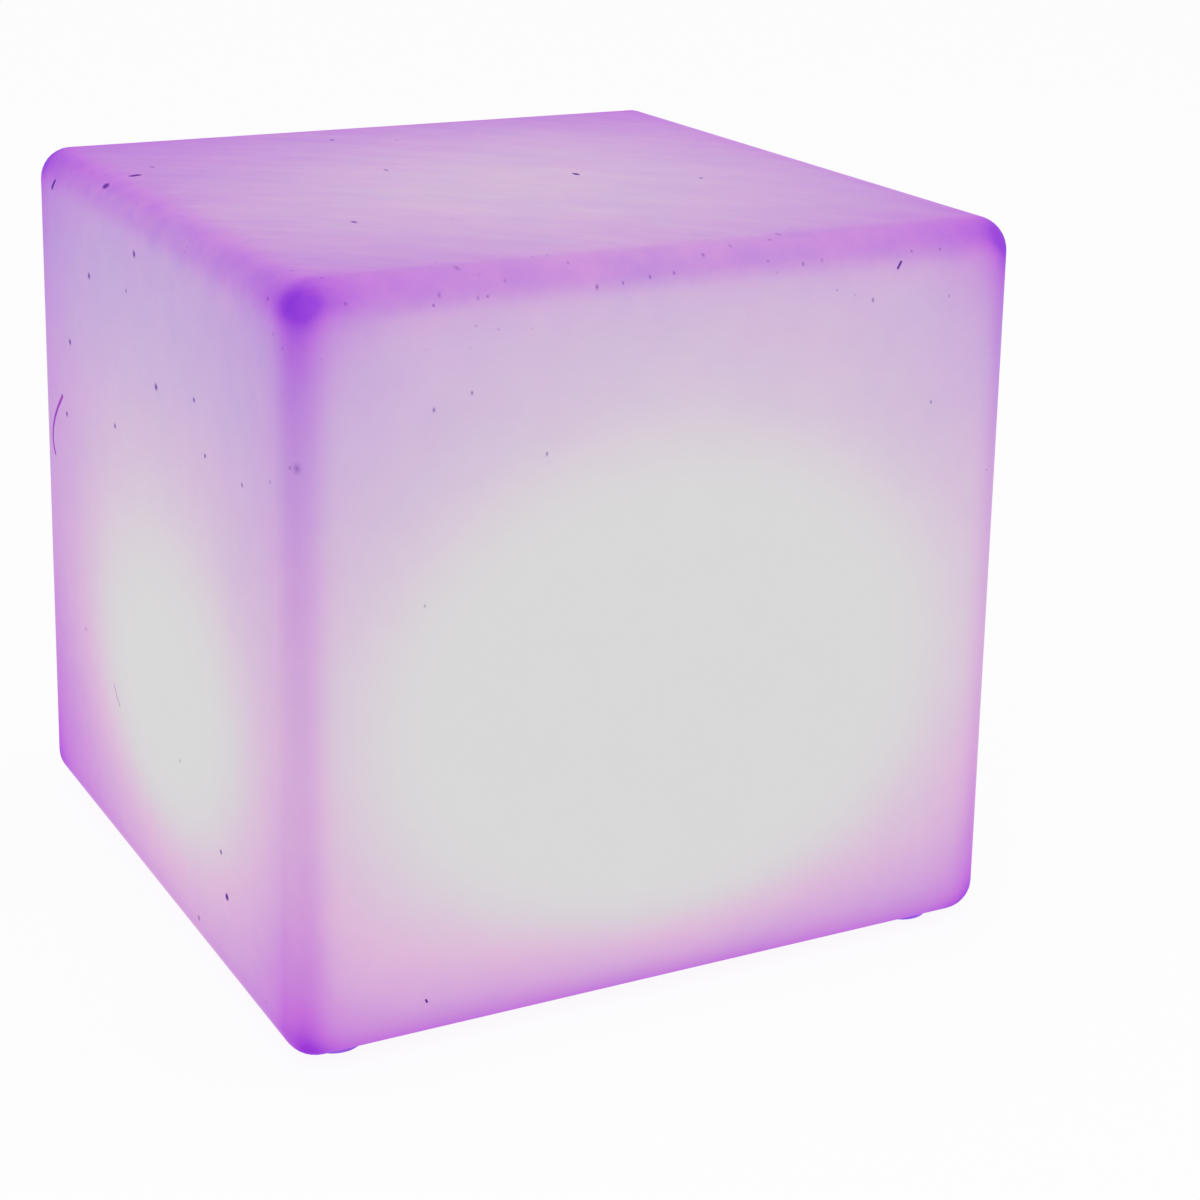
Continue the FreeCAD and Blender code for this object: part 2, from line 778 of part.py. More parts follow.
def jack_nut():
    """The thin hexagon nut that clamps the jack to the cup's floor."""
    corner = nut_flats / math.sqrt(3.0)
    points = [Vector(port_x + x, y, recess_top - nut_thickness) for x, y in around(6, corner)]
    outline = Part.Face(Part.makePolygon(points + points[:1]))
    nut = outline.extrude(Vector(0, 0, nut_thickness))
    return nut.cut(through(jack_neck_radius + thread_gap, recess_top - nut_thickness, recess_top, port_x))


def port_cap():
    """A soft cap over the port with a ring plug, a finger tab and a strap that bends at its far end."""
    lid = disc(cap_radius, cap_low, cap_top, port_x)
    tab_reach = cap_radius + cap_tab_length
    tab = slab(tab_reach, cap_tab_width, cap_low, cap_top, port_x + tab_reach / 2)
    plug = ring(cap_plug_radius, cap_plug_radius - cap_plug_wall, cap_low, cap_top + cap_plug_depth, port_x)
    strap_low = strap_axis_z - strap_thickness / 2
    strap_top = strap_axis_z + strap_thickness / 2
    strap = slab(strap_reach, strap_width, strap_low, strap_top, strap_axis_x + strap_reach / 2)
    start = Vector(strap_axis_x, -strap_width / 2, strap_axis_z)
    knuckle = Part.makeCylinder(strap_thickness / 2, strap_width, start, Vector(0, 1, 0))
    return joined([lid, tab, plug, strap, knuckle])


def anchor_x():
    """The X place of the strap's anchor stem."""
    return strap_axis_x - strap_thickness / 2 - strap_gap - anchor_length / 2


def strap_anchor():
    """The strap's fixed end: a pad against the cover, with a stem through it and a bead that holds it."""
    pad = slab(anchor_length, anchor_width, cover_low - anchor_thickness, cover_low, anchor_x())
    stem = disc(anchor_stem_radius, cover_low, cover_top, anchor_x())
    bead = disc(anchor_bead_radius, cover_top, cover_top + anchor_bead_height, anchor_x())
    return joined([pad, stem, bead])


# ---- leads ----
def battery_leads():
    """The wires from the battery tray's side down and up to the control board."""
    z = tray_top - battery_lead_drop
    y = -(tray_outside_y + lead_landing)
    points = [
        Vector(battery_lead_x, -tray_outside_y, z),
        Vector(battery_lead_x, y, z),
        Vector(battery_lead_x, y, control_low),
    ]
    return lead_pair(points, Vector(1, 0, 0))


def jack_leads():
    """The wires from the jack's side to the control board."""
    z = cup_top + jack_lead_height
    y = -(tray_outside_y + lead_landing)
    x = port_x
    points = [Vector(x, -jack_side / 2, z), Vector(x, y, z), Vector(x, y, control_low)]
    return lead_pair(points, Vector(1, 0, 0))


def switch_leads():
    """The wires from the switch board's edge to the control board."""
    z = (switch_board_low + switch_board_top) / 2
    y = -(tray_outside_y + lead_landing)
    x = button_x + switch_board_width / 2 - lead_pitch
    points = [Vector(x, -switch_board_length / 2, z), Vector(x, y, z), Vector(x, y, control_low)]
    return lead_pair(points, Vector(1, 0, 0))


parts = {
    "cube_shell": cube_shell(),
    "threaded_inserts": threaded_inserts(),
    "foot_front_left": foot(-1, -1),
    "foot_front_right": foot(1, -1),
    "foot_back_left": foot(-1, 1),
    "foot_back_right": foot(1, 1),
    "mounting_gasket": mounting_gasket(),
    "flange_screws": flange_screws(),
    "engine_housing": engine_housing(),
    "dome_diffuser": dome_diffuser(),
    "dome_seal": dome_seal(),
    "dome_screws": dome_screws(),
    "lamp_board": lamp_board(),
    "emitters": emitters(),
    "remote_receiver": remote_receiver(),
    "lamp_board_screws": lamp_screws(),
    "link_block": link_block(),
    "link_pins": link_pins(),
    "battery_tray": battery_tray(),
    "battery_cell_front": battery_cell(-1),
    "battery_cell_back": battery_cell(1),
    "battery_terminals": battery_terminals(),
    "tray_screws": tray_screws(),
    "control_board": control_board(),
    "board_components": board_components(),
    "control_board_screws": control_screws(),
    "base_cover": base_cover(),
    "cover_gasket": cover_gasket(),
    "cover_screws": cover_screws(),
    "power_button": power_button(),
    "button_seal": button_seal(),
    "switch_body": switch_body(),
    "switch_plunger": switch_plunger(),
    "switch_board": switch_board(),
    "switch_board_screws": switch_screws(),
    "charging_jack": charging_jack(),
    "jack_centre_pin": jack_pin(),
    "jack_nut": jack_nut(),
    "port_cap": port_cap(),
    "strap_anchor": strap_anchor(),
    "battery_leads": battery_leads(),
    "jack_leads": jack_leads(),
    "switch_leads": switch_leads(),
}

os.makedirs("parts", exist_ok=True)
for name, shape in parts.items():
    shape.exportStep("parts/" + name + ".step")
    box = shape.BoundBox
    print(name, len(shape.Solids), "solid(s)", "valid" if shape.isValid() else "NOT VALID",
          "volume", round(shape.Volume, 1), "z", round(box.ZMin, 2), round(box.ZMax, 2))
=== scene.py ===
import math

import bmesh
import bpy
import numpy as np
from mathutils import Matrix, Vector


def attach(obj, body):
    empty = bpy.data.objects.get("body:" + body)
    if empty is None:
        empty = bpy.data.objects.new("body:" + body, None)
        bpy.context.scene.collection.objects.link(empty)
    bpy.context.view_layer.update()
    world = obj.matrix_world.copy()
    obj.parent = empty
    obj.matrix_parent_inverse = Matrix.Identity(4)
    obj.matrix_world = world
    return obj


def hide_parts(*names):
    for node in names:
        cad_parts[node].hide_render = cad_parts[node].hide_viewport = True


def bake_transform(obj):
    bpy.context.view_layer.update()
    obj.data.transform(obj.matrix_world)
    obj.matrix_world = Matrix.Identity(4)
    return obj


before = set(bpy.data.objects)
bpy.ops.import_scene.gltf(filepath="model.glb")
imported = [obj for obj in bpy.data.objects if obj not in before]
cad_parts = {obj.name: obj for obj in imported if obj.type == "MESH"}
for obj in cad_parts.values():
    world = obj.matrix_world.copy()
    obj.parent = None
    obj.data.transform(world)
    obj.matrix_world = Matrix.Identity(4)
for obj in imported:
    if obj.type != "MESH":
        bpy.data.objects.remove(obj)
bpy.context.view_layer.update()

# A rechargeable glowing cube: the looks of its shell, lit violet to white from inside, and of the
# feet, light engine, button and charging port under it. Metres, as in the frame. The formulas of
# the glow are in millimetres, because they come from distances to the edges of the shell.

MM = 0.001

# ---- sizes of the shell, as built ----
BASE_HALF = 200.0
TOP_HALF = 195.0
SHELL_FOOT = 5.0
SHELL_TOP = 386.0
EDGE_ROUNDING = 17.5
FOOT_PLACE = 167.5

# ---- the button and the port, as built ----
BUTTON_X = -26.0
PORT_X = 20.0
STRAP_BEND_X = 5.0

# an edge that bends more than this is shown sharp
SHARP_ANGLE = math.radians(38.0)

# ---- studio ----
CAMERA_PLACE = (-0.58258, -1.19513, 0.63196)
CAMERA_AZIMUTH = -27.0851
CAMERA_ELEVATION = 18.94
CAMERA_ROLL = 0.9159
CAMERA_LENS = 75.959
# the middle of the photograph is a little right of and below the camera's axis
CAMERA_SHIFT = (0.05, -0.036)
PHOTO_SIDE = 1200.0
SENSOR = 36.0
FLOOR_REACH = 14.0
FLOOR_HEIGHT = -0.0002
# how much of the floor the camera sees as plain white, where the rest takes the soft shadow
FLOOR_WHITE = 0.92
# how strong the light all round is, where the camera sees 1
ROOM_LIGHT = 0.8

# ---- the glow ----
# the darkest corners still let this share of the light through, and the glow eases into it
DARKEST_LEVEL = 0.31
DARKEST_EASING = 0.06
# the unevenness and the redness of the painted glow along an edge, and the lighter specks there,
# fade over this many millimetres
RIM_REACH = 20.0
# what the studio adds to the shell's own light all over, in red, green and blue
STUDIO_LIGHT = (0.026, 0.020, 0.033)
# the cloth's arcs on top turn about a point out in front, in millimetres
ARM_PIVOT = (-630.0, -700.0)


def linear(red, green, blue):
    """A colour of 0 to 255 as shown on a screen, as the linear colour that a shader takes."""
    shown = np.array([red, green, blue]) / 255.0
    low = shown / 12.92
    high = ((shown + 0.055) / 1.055) ** 2.4
    return tuple(np.where(shown <= 0.04045, low, high)) + (1.0,)


# ---------------------------------------------------------------- formulas written in Math nodes


class Field:
    """A value that changes over the surface, so that a formula in nodes reads like arithmetic."""

    def __init__(self, tree, socket):
        self.tree = tree
        self.socket = socket

    def math(self, operation, *others):
        node = self.tree.nodes.new("ShaderNodeMath")
        node.operation = operation
        self.tree.links.new(self.socket, node.inputs[0])
        for place, other in enumerate(others, 1):
            if isinstance(other, Field):
                self.tree.links.new(other.socket, node.inputs[place])
            else:
                node.inputs[place].default_value = other
        return Field(self.tree, node.outputs[0])

    def __add__(self, other):
        return self.math("ADD", other)

    def __sub__(self, other):
        return self.math("SUBTRACT", other)

    def __rsub__(self, other):
        return self.math("MULTIPLY_ADD", -1.0, other)

    def __mul__(self, other):
        return self.math("MULTIPLY", other)

    def __truediv__(self, other):
        return self.math("DIVIDE", other)

    def size(self):
        return self.math("ABSOLUTE")

    def smaller(self, other):
        return self.math("MINIMUM", other)

    def larger(self, other):
        return self.math("MAXIMUM", other)

    def fade(self, reach):
        """1 at nought, falling to 1/e at reach."""
        return (self * (-1.0 / reach)).math("EXPONENT")

    def bell(self, reach):
        """1 at nought, and e to the power of minus the square of how many reaches away it is."""
        share = self / reach
        return (share * share).fade(1.0)

    def ramp(self, start, end, low=0.0, high=1.0):
        """Smoothly from low at start to high at end."""
        node = self.tree.nodes.new("ShaderNodeMapRange")
        node.interpolation_type = "SMOOTHSTEP"
        self.tree.links.new(self.socket, node.inputs["Value"])
        names = ("From Min", "From Max", "To Min", "To Max")
        for name, value in zip(names, (start, end, low, high)):
            node.inputs[name].default_value = value
        return Field(self.tree, node.outputs["Result"])


def far(*legs):
    """The distance whose legs are these, by Pythagoras."""
    total = legs[0] * legs[0]
    for leg in legs[1:]:
        total = total + leg * leg
    return total.math("SQRT")


def half_side(height):
    """Half the shell's side at a height, a number or a field in millimetres. It narrows evenly."""
    return BASE_HALF - (height - SHELL_FOOT) * ((BASE_HALF - TOP_HALF) / (SHELL_TOP - SHELL_FOOT))


def vector(tree, operation, first, second, output="Vector"):
    """An output of a Vector Math node on one socket and another socket or three numbers."""
    node = tree.nodes.new("ShaderNodeVectorMath")
    node.operation = operation
    tree.links.new(first, node.inputs[0])
    other = node.inputs["Scale" if operation == "SCALE" else 1]
    if isinstance(second, tuple):
        other.default_value = second
    else:
        tree.links.new(second, other)
    return node.outputs[output]


def object_place(tree):
    """Where a point of the surface is, in metres, as a socket."""
    return tree.nodes.new("ShaderNodeTexCoord").outputs["Object"]


def axes(tree):
    """Where a point of the surface is, in millimetres: x, y and z as three fields."""
    split = tree.nodes.new("ShaderNodeSeparateXYZ")
    tree.links.new(object_place(tree), split.inputs[0])
    return tuple(Field(tree, split.outputs[i]) * 1000.0 for i in range(3))


def noise(
    tree, scale, detail=3.0, rough=0.5, stretch=(1, 1, 1), turn=0.0, warp=0.0, shift=(0, 0, 0)
):
    """Cloudy noise of about 0 to 1 over Object coordinates. stretch scales each axis first."""
    mapping = tree.nodes.new("ShaderNodeMapping")
    mapping.vector_type = "TEXTURE"
    mapping.inputs["Rotation"].default_value = (0, 0, turn)
    mapping.inputs["Location"].default_value = shift
    mapping.inputs["Scale"].default_value = tuple(1.0 / s for s in stretch)
    tree.links.new(object_place(tree), mapping.inputs["Vector"])
    node = tree.nodes.new("ShaderNodeTexNoise")
    tree.links.new(mapping.outputs[0], node.inputs["Vector"])
    if isinstance(scale, Field):
        tree.links.new(scale.socket, node.inputs["Scale"])
    else:
        node.inputs["Scale"].default_value = scale
    node.inputs["Detail"].default_value = detail
    node.inputs["Roughness"].default_value = rough
    node.inputs["Distortion"].default_value = warp
    return Field(tree, node.outputs["Fac"])


def group(name, inputs, outputs):
    """An empty node group with inputs {name: usual value} and outputs {name: kind of socket}. An
    input whose usual value is three numbers takes a vector.

    Returns its tree, the inputs as fields, and a function that joins an output to a field.
    """
    tree = bpy.data.node_groups.new(name, "ShaderNodeTree")
    for word, usual in inputs.items():
        kind = "NodeSocketVector" if isinstance(usual, tuple) else "NodeSocketFloat"
        socket = tree.interface.new_socket(name=word, in_out="INPUT", socket_type=kind)
        socket.default_value = usual
    for word, kind in outputs.items():
        tree.interface.new_socket(name=word, in_out="OUTPUT", socket_type=kind)
    given = tree.nodes.new("NodeGroupInput")
    told = tree.nodes.new("NodeGroupOutput")
    fields = {word: Field(tree, given.outputs[word]) for word in inputs}

    def put(word, field):
        tree.links.new(field.socket, told.inputs[word])

    return tree, fields, put


def placed(tree, made, **values):
    """The node of a group in a material, with its own values, each a number or a field."""
    node = tree.nodes.new("ShaderNodeGroup")
    node.node_tree = made
    for word, value in values.items():
        if isinstance(value, Field):
            tree.links.new(value.socket, node.inputs[word])
        else:
            node.inputs[word].default_value = value
    return node


def reading(tree, made, output, **values):
    """One output of a group that is placed in a material, as a field."""
    return Field(tree, placed(tree, made, **values).outputs[output])


# ---------------------------------------------------------------- effects that materials share


def glow_level_group():
    """How bright each place of the lit shell is, as a share of the brightest.

    Each face has a plateau over the lamps that falls off with distance. The faces are mixed by how
    near a point is to each. Then edges and corners are taken off, because there the wall is further
    from the lamps and thicker along the light's way: each takes off its depth times e to the power
    of minus its distance, where the legs of the distance are counted in reaches of their own.
    """
    tree, _, put = group("glow_level", {}, {"Level": "NodeSocketFloat"})
    x, y, z = axes(tree)
    half = half_side(z)
    from_x = half - x.size()
    from_y = half - y.size()
    below_top = SHELL_TOP - z
    above_foot = z - SHELL_FOOT

    def plateau(floor, rise, across, across_reach, up, up_reach, power):
        """The floor, plus the rise times 1 plus the distance squared, to the power of -power."""
        near = far(across / across_reach, up / up_reach)
        return (near * near + 1.0).math("POWER", -power) * rise + floor

    side_x = plateau(0.664, 0.845, y + 21.4, 64.3, z - 128.6, 48.7, 0.4)
    side_y = plateau(0.867, 1.375, x, 437.0, z - 166.4, 347.6, 20.0)
    top = plateau(0.442, 0.404, x + 4.9, 775.0, y + 18.9, 775.0, 6.0)
    surfaces = (from_x, from_y, below_top, above_foot)
    near_x, near_y, near_top, near_foot = (distance.fade(4.0) for distance in surfaces)
    # the underside is darker towards the edge of the well, 85 mm from the middle
    floor = 0.68 - (far(x, y) - 85.0).larger(0.0).fade(30.0) * 0.14
    level = near_x * side_x + near_y * side_y + near_top * top + near_foot * floor
    level = level / (near_x + near_y + near_top + near_foot)

    def dimmed(depth, power, *legs):
        """The depth times e to the power of minus the distance to a power of its own."""
        off = far(*(distance.larger(0.0) / reach for distance, reach in legs))
        return off.math("POWER", power).fade(1.0) * depth

    # the upright edges
    level = level - dimmed(0.120, 3.21, (from_x, 16.3), (from_y, 10.0))
    # the top edges at the front and back, then at the left and right
    level = level - dimmed(0.425, 0.82, (from_y, 3.0), (below_top, 8.1))
    level = level - dimmed(0.054, 5.8, (from_y, 18.2), (below_top, 15.9))
    level = level - dimmed(0.127, 2.62, (from_x, 16.4), (below_top, 15.0))
    level = level - dimmed(0.061, 1.0, (from_x, 7.5), (below_top, 48.2))
    # the foot edges at the front and back
    level = level - dimmed(0.355, 1.0, (from_y, 17.4), (above_foot, 25.4))
    # the left and right walls low down, then their foot edges
    level = level - dimmed(0.326, 1.0, (from_x, 3.1), (above_foot, 308.0))
    level = level - dimmed(0.240, 1.5, (from_x, 15.0), (above_foot, 9.0))
    # the upper corners, then the lower ones
    level = level - dimmed(0.505, 1.0, (from_x, 3.0), (from_y, 21.0), (below_top, 11.2))
    level = level - dimmed(0.970, 0.6, (from_x, 9.6), (from_y, 3.2), (below_top, 14.4))
    level = level - dimmed(0.255, 1.0, (from_x, 17.0), (from_y, 10.9), (above_foot, 54.9))
    put("Level", level)
    return tree


def glow_palette_group():
    """The colour of the lit plastic for a level: violet where little light comes through, then
    lilac and pink, and a soft greyish white over the lamps."""
    tree, given, put = group("glow_palette", {"Level": 0.8}, {"Color": "NodeSocketColor"})
    # a level of 1 is this green on a screen, and above the knee the green nears its limit softly
    brightest, knee, reach = 218.0 / 255.0, 200.0 / 255.0, 18.0 / 255.0
    level = given["Level"] * brightest
    over = (level - knee).larger(0.0)
    soft = level.smaller(knee) + (1.0 - over.fade(reach)) * reach
    node = tree.nodes.new("ShaderNodeValToRGB")
    stops = (
        (50, (125, 52, 216)),
        (75, (158, 79, 220)),
        (110, (188, 116, 221)),
        (145, (198, 149, 219)),
        (180, (212, 184, 218)),
        (205, (217, 206, 217)),
        (217, (218, 217, 217)),
    )
    ramp = node.color_ramp
    while len(ramp.elements) < len(stops):
        ramp.elements.new(0.5)
    for element, (green, colour) in zip(ramp.elements, stops):
        element.position = green / 255.0
        element.color = linear(*colour)
    tree.links.new(soft.socket, node.inputs["Fac"])
    put("Color", Field(tree, node.outputs["Color"]))
    return tree


def grain_group():
    """Fine moulded grain: height for a bump, and tone, a slow change of shade around one half."""
    tree, given, put = group(
        "moulded_grain", {"Scale": 900.0}, {"Height": "NodeSocketFloat", "Tone": "NodeSocketFloat"}
    )
    fine = noise(tree, given["Scale"], detail=2.0, rough=0.6)
    coarse = noise(tree, given["Scale"] * 0.12, detail=3.0)
    put("Height", fine * 0.75 + coarse * 0.25)
    put("Tone", noise(tree, given["Scale"] * 0.03, detail=4.0))
    return tree


def specks_group():
    """Scattered small specks of dirt: Voronoi cells, of which only a share has a speck, a round
    spot at the cell's point. Scale is cells per metre, Share how many have one, Radius in cells."""
    tree, given, put = group(
        "dirt_specks", {"Scale": 90.0, "Share": 0.1, "Radius": 0.1}, {"Mask": "NodeSocketFloat"}
    )
    cells = tree.nodes.new("ShaderNodeTexVoronoi")
    tree.links.new(object_place(tree), cells.inputs["Vector"])
    tree.links.new(given["Scale"].socket, cells.inputs["Scale"])
    pick = tree.nodes.new("ShaderNodeSeparateColor")
    tree.links.new(cells.outputs["Color"], pick.inputs[0])
    chosen = Field(tree, pick.outputs[0]).math("LESS_THAN", given["Share"])
    width = given["Radius"] * (Field(tree, pick.outputs[1]) + 0.5)
    inside = (width - Field(tree, cells.outputs["Distance"])) / (width * 0.5)
    put("Mask", inside.larger(0.0).smaller(1.0) * chosen)
    return tree


def hairlines_group():
    """Hairline scratches: noise stretched a long way along one direction, cut to its crests.
    Scale is lines per metre, Amount how many of them show."""
    tree, given, put = group(
        "hairlines", {"Scale": 60.0, "Amount": 0.2}, {"Mask": "NodeSocketFloat"}
    )
    one = noise(tree, given["Scale"], detail=2.0, stretch=(0.05, 1.0, 1.0), turn=0.5, warp=0.3)
    finer = given["Scale"] * 1.3
    two = noise(tree, finer, detail=2.0, stretch=(1.0, 0.06, 1.0), turn=-0.35, warp=0.3)
    crest = one.larger(two)
    put("Mask", (crest - (0.78 - given["Amount"] * 0.3)).larger(0.0) * 8.0)
    return tree


glow_level = glow_level_group()
glow_palette = glow_palette_group()
moulded_grain = grain_group()
dirt_specks = specks_group()
hairlines = hairlines_group()


# ---------------------------------------------------------------- materials


def blank(name):
    """A new material with a Principled shader. Returns the material, its tree and the shader."""
    material = bpy.data.materials.new(name)
    material.use_nodes = True
    tree = material.node_tree
    shader = tree.nodes["Principled BSDF"]
    return material, tree, shader


def mixed(tree, share, first, second):
    """A colour field from first to second, each a colour or a field, as share goes from 0 to 1."""
    node = tree.nodes.new("ShaderNodeMix")
    node.data_type = "RGBA"
    tree.links.new(share.socket, node.inputs["Factor"])
    for value, socket in ((first, node.inputs[6]), (second, node.inputs[7])):
        if isinstance(value, Field):
            tree.links.new(value.socket, socket)
        else:
            socket.default_value = value
    return Field(tree, node.outputs[2])


def feed(shader, word, field):
    """Joins a field to an input of the shader."""
    field.tree.links.new(field.socket, shader.inputs[word])


def bumped(tree, shader, height, strength, depth):
    """A bump from a height field, in metres of depth."""
    node = tree.nodes.new("ShaderNodeBump")
    node.inputs["Strength"].default_value = strength
    node.inputs["Distance"].default_value = depth
    tree.links.new(height.socket, node.inputs["Height"])
    tree.links.new(node.outputs["Normal"], shader.inputs["Normal"])


# Marks seen on the shell, each at its place in the photograph in pixels, with its half width in mm
# and how dark its middle is. Above 1, it is fully dark some way out from its middle. A dash or
# scratch has the pixels of its ends and bends, and is as dark as DEEP.
DEEP, DARK, PLAIN, FAINT = 1.6, 0.95, 0.7, 0.5
DOTS = {
    "speck under the far left corner": (106, 186, 2.8, DEEP),
    "speck on the left wall, high": (134, 254, 2.1, DARK),
    "speck by the left edge, high": (89, 276, 1.9, DARK),
    "speck right of it, faint": (126, 291, 1.3, PLAIN),
    "speck by the left edge, lower": (70, 342, 1.9, DARK),
    "speck on the left wall, middle": (156, 387, 2.1, DARK),
    "speck right of it": (194, 400, 1.4, DARK),
    "speck below it": (205, 456, 1.3, DARK),
    "speck by the scratch": (67, 414, 1.7, DARK),
    "speck left of the middle": (115, 426, 1.5, DARK),
    "speck near the upright edge": (242, 485, 1.4, PLAIN),
    "speck beside it": (270, 482, 1.3, FAINT),
    "speck low on the left wall": (221, 852, 1.5, DARK),
    "dark speck low on the left wall": (227, 897, 1.8, DEEP),
    "speck near the bottom edge": (199, 918, 1.7, PLAIN),
    "speck in the white area": (180, 761, 1.4, FAINT),
    "speck at the far left, low": (86, 629, 1.7, FAINT),
    "smudge beside the far left dash": (152, 167, 2.1, PLAIN),
    "smudge on the near edge": (297, 469, 3.0, FAINT),
    "its tail": (290, 468, 1.2, FAINT),
    "speck on top, far": (332, 140, 2.1, DARK),
    "speck on top, middle": (386, 170, 1.9, DARK),
    "speck on top, near": (354, 222, 2.4, DARK),
    "dark speck on top": (576, 174, 2.6, DEEP),
    "speck on top, right": (701, 178, 1.8, DARK),
    "speck on the front wall": (434, 410, 1.5, PLAIN),
    "speck right of that": (472, 393, 1.3, PLAIN),
    "speck by the white area": (547, 454, 1.3, PLAIN),
    "speck at the right": (873, 300, 1.4, PLAIN),
    "speck at the far right": (949, 296, 1.1, FAINT),
    "speck right, lower": (931, 402, 1.2, PLAIN),
    "speck on the front wall, low": (425, 606, 1.3, FAINT),
    "speck by the near corner": (268, 299, 1.2, PLAIN),
    "nick on the front rim, first": (439, 295, 1.8, FAINT),
    "nick, upper side": (457, 268, 2.6, FAINT),
    "nick right of it": (478, 298, 1.5, FAINT),
    "nick in the middle of the rim": (505, 281, 1.4, FAINT),
    "nick, upper side again": (568, 263, 1.4, FAINT),
    "nick, lower side": (597, 287, 1.6, PLAIN),
    "second nick, lower side": (623, 283, 1.2, PLAIN),
    "third nick, lower side": (650, 277, 1.3, PLAIN),
    "fourth nick, lower side": (674, 273, 1.2, PLAIN),
    "nick above it": (703, 255, 1.4, PLAIN),
    "nick near the top side": (730, 246, 1.5, FAINT),
    "nick on the top side": (778, 234, 2.4, FAINT),
    "nick right of the middle": (803, 264, 1.4, PLAIN),
    "nick beside it": (822, 260, 1.4, FAINT),
}
DASHES = {
    "dash at the far left corner": (((52, 188), (55, 181)), 1.6),
    "dash on the far left edge": (((132, 176), (138, 175)), 2.6),
    "dark dash at the right": (((898, 268), (901, 262)), 1.0),
    "dash near the bottom edge": (((426, 1000), (427, 1002)), 0.8),
}
SCRATCHES = {
    "curved scratch by the left edge": (
        ((62.5, 396), (58, 407), (55, 417), (53.4, 427), (53.1, 437), (54, 446), (55.5, 453)),
        1.7,
    ),
    "scratch in the white area": (((114, 684), (117, 697), (120, 706)), 0.5),
}

# the specks are a little longer front to back and upwards than across
SPECK_SHAPE = (1.15, 0.6, 0.7)

# a line of sight has met the shell well before this many steps
SIGHT_STEPS = 80


def camera_axes():
    """The camera's right, up and back in the frame, from its azimuth, elevation and roll."""
    turn = math.radians(CAMERA_AZIMUTH)
    rise = math.radians(CAMERA_ELEVATION)
    roll = math.radians(CAMERA_ROLL)
    level = math.cos(rise)
    back = np.array([math.sin(turn) * level, -math.cos(turn) * level, math.sin(rise)])
    right = np.array([math.cos(turn), math.sin(turn), 0.0])
    up = np.cross(back, right)
    return (
        math.cos(roll) * right + math.sin(roll) * up,
        math.cos(roll) * up - math.sin(roll) * right,
        back,
    )


def off_shell(place):
    """How far a place is from the shell, in metres: its distance to the block through the middles
    of the rounded edges, less their radius."""
    half = half_side(place[2] / MM) - EDGE_ROUNDING
    height = (SHELL_TOP - SHELL_FOOT) / 2
    off = np.abs(place / MM - (0, 0, SHELL_FOOT + height)) - (half, half, height - EDGE_ROUNDING)
    return (np.linalg.norm(np.maximum(off, 0.0)) + min(off.max(), 0.0) - EDGE_ROUNDING) * MM


def on_shell(across, down):
    """Where the line of sight through a pixel of the photograph first meets the shell, in metres.
    It steps along the line by the distance to the shell, until that is nothing."""
    right, up, back = camera_axes()
    across += (CAMERA_SHIFT[0] - 0.5) * PHOTO_SIDE
    down -= (CAMERA_SHIFT[1] + 0.5) * PHOTO_SIDE
    ray = right * across - up * down - back * CAMERA_LENS / SENSOR * PHOTO_SIDE
    ray /= np.linalg.norm(ray)
    place = np.array(CAMERA_PLACE)
    for _ in range(SIGHT_STEPS):
        place = place + ray * off_shell(place)
    return place


def stroke_group():
    """How far a point is from a straight stroke, in units of the stroke's half width."""
    nought = (0.0, 0.0, 0.0)
    tree, given, put = group(
        "stroke", {"Start": nought, "Run": nought, "Width": 1.0}, {"Off": "NodeSocketFloat"}
    )
    run = given["Run"].socket
    out = vector(tree, "SUBTRACT", object_place(tree), given["Start"].socket)
    along = Field(tree, vector(tree, "DOT_PRODUCT", out, run, "Value"))
    along = along / Field(tree, vector(tree, "DOT_PRODUCT", run, run, "Value"))
    foot = vector(tree, "SCALE", run, along.larger(0.0).smaller(1.0).socket)
    put("Off", Field(tree, vector(tree, "DISTANCE", out, foot, "Value")) / given["Width"])
    return tree


stroke = stroke_group()


def nearest_stroke(tree, strokes, nearest=None):
    """How far out a point is on the nearest of these strokes, or of the marks that nearest holds:
    1 at its side, and 1 less DEEP in its middle."""
    for bends, width in strokes.values():
        bends = [on_shell(*bend) for bend in bends]
        for start, end in zip(bends, bends[1:]):
            run = tuple(end - start)
            off = reading(tree, stroke, "Off", Start=tuple(start), Run=run, Width=width * MM)
            off = off.math("MULTIPLY_ADD", DEEP, 1.0 - DEEP)
            nearest = off if nearest is None else nearest.smaller(off)
    return nearest


def marks(tree):
    """How near a point is to any speck or dash, and how near to any scratch, as two fields: 1 on
    one, 0 away from all. How far out a point is on a speck is 1 at its side and 1 less its darkness
    in its middle, and even between."""
    nearest = None
    squeezed = vector(tree, "MULTIPLY", object_place(tree), SPECK_SHAPE)
    for across, down, width, dark in DOTS.values():
        middle = tuple(on_shell(across, down) * SPECK_SHAPE)
        off = Field(tree, vector(tree, "DISTANCE", squeezed, middle, "Value"))
        off = off.math("MULTIPLY_ADD", dark / (width * MM), 1.0 - dark)
        nearest = off if nearest is None else nearest.smaller(off)
    dirty = nearest_stroke(tree, DASHES, nearest).ramp(0.0, 1.0, 1.0, 0.0)
    return dirty, nearest_stroke(tree, SCRATCHES).ramp(0.0, 1.0, 1.0, 0.0)


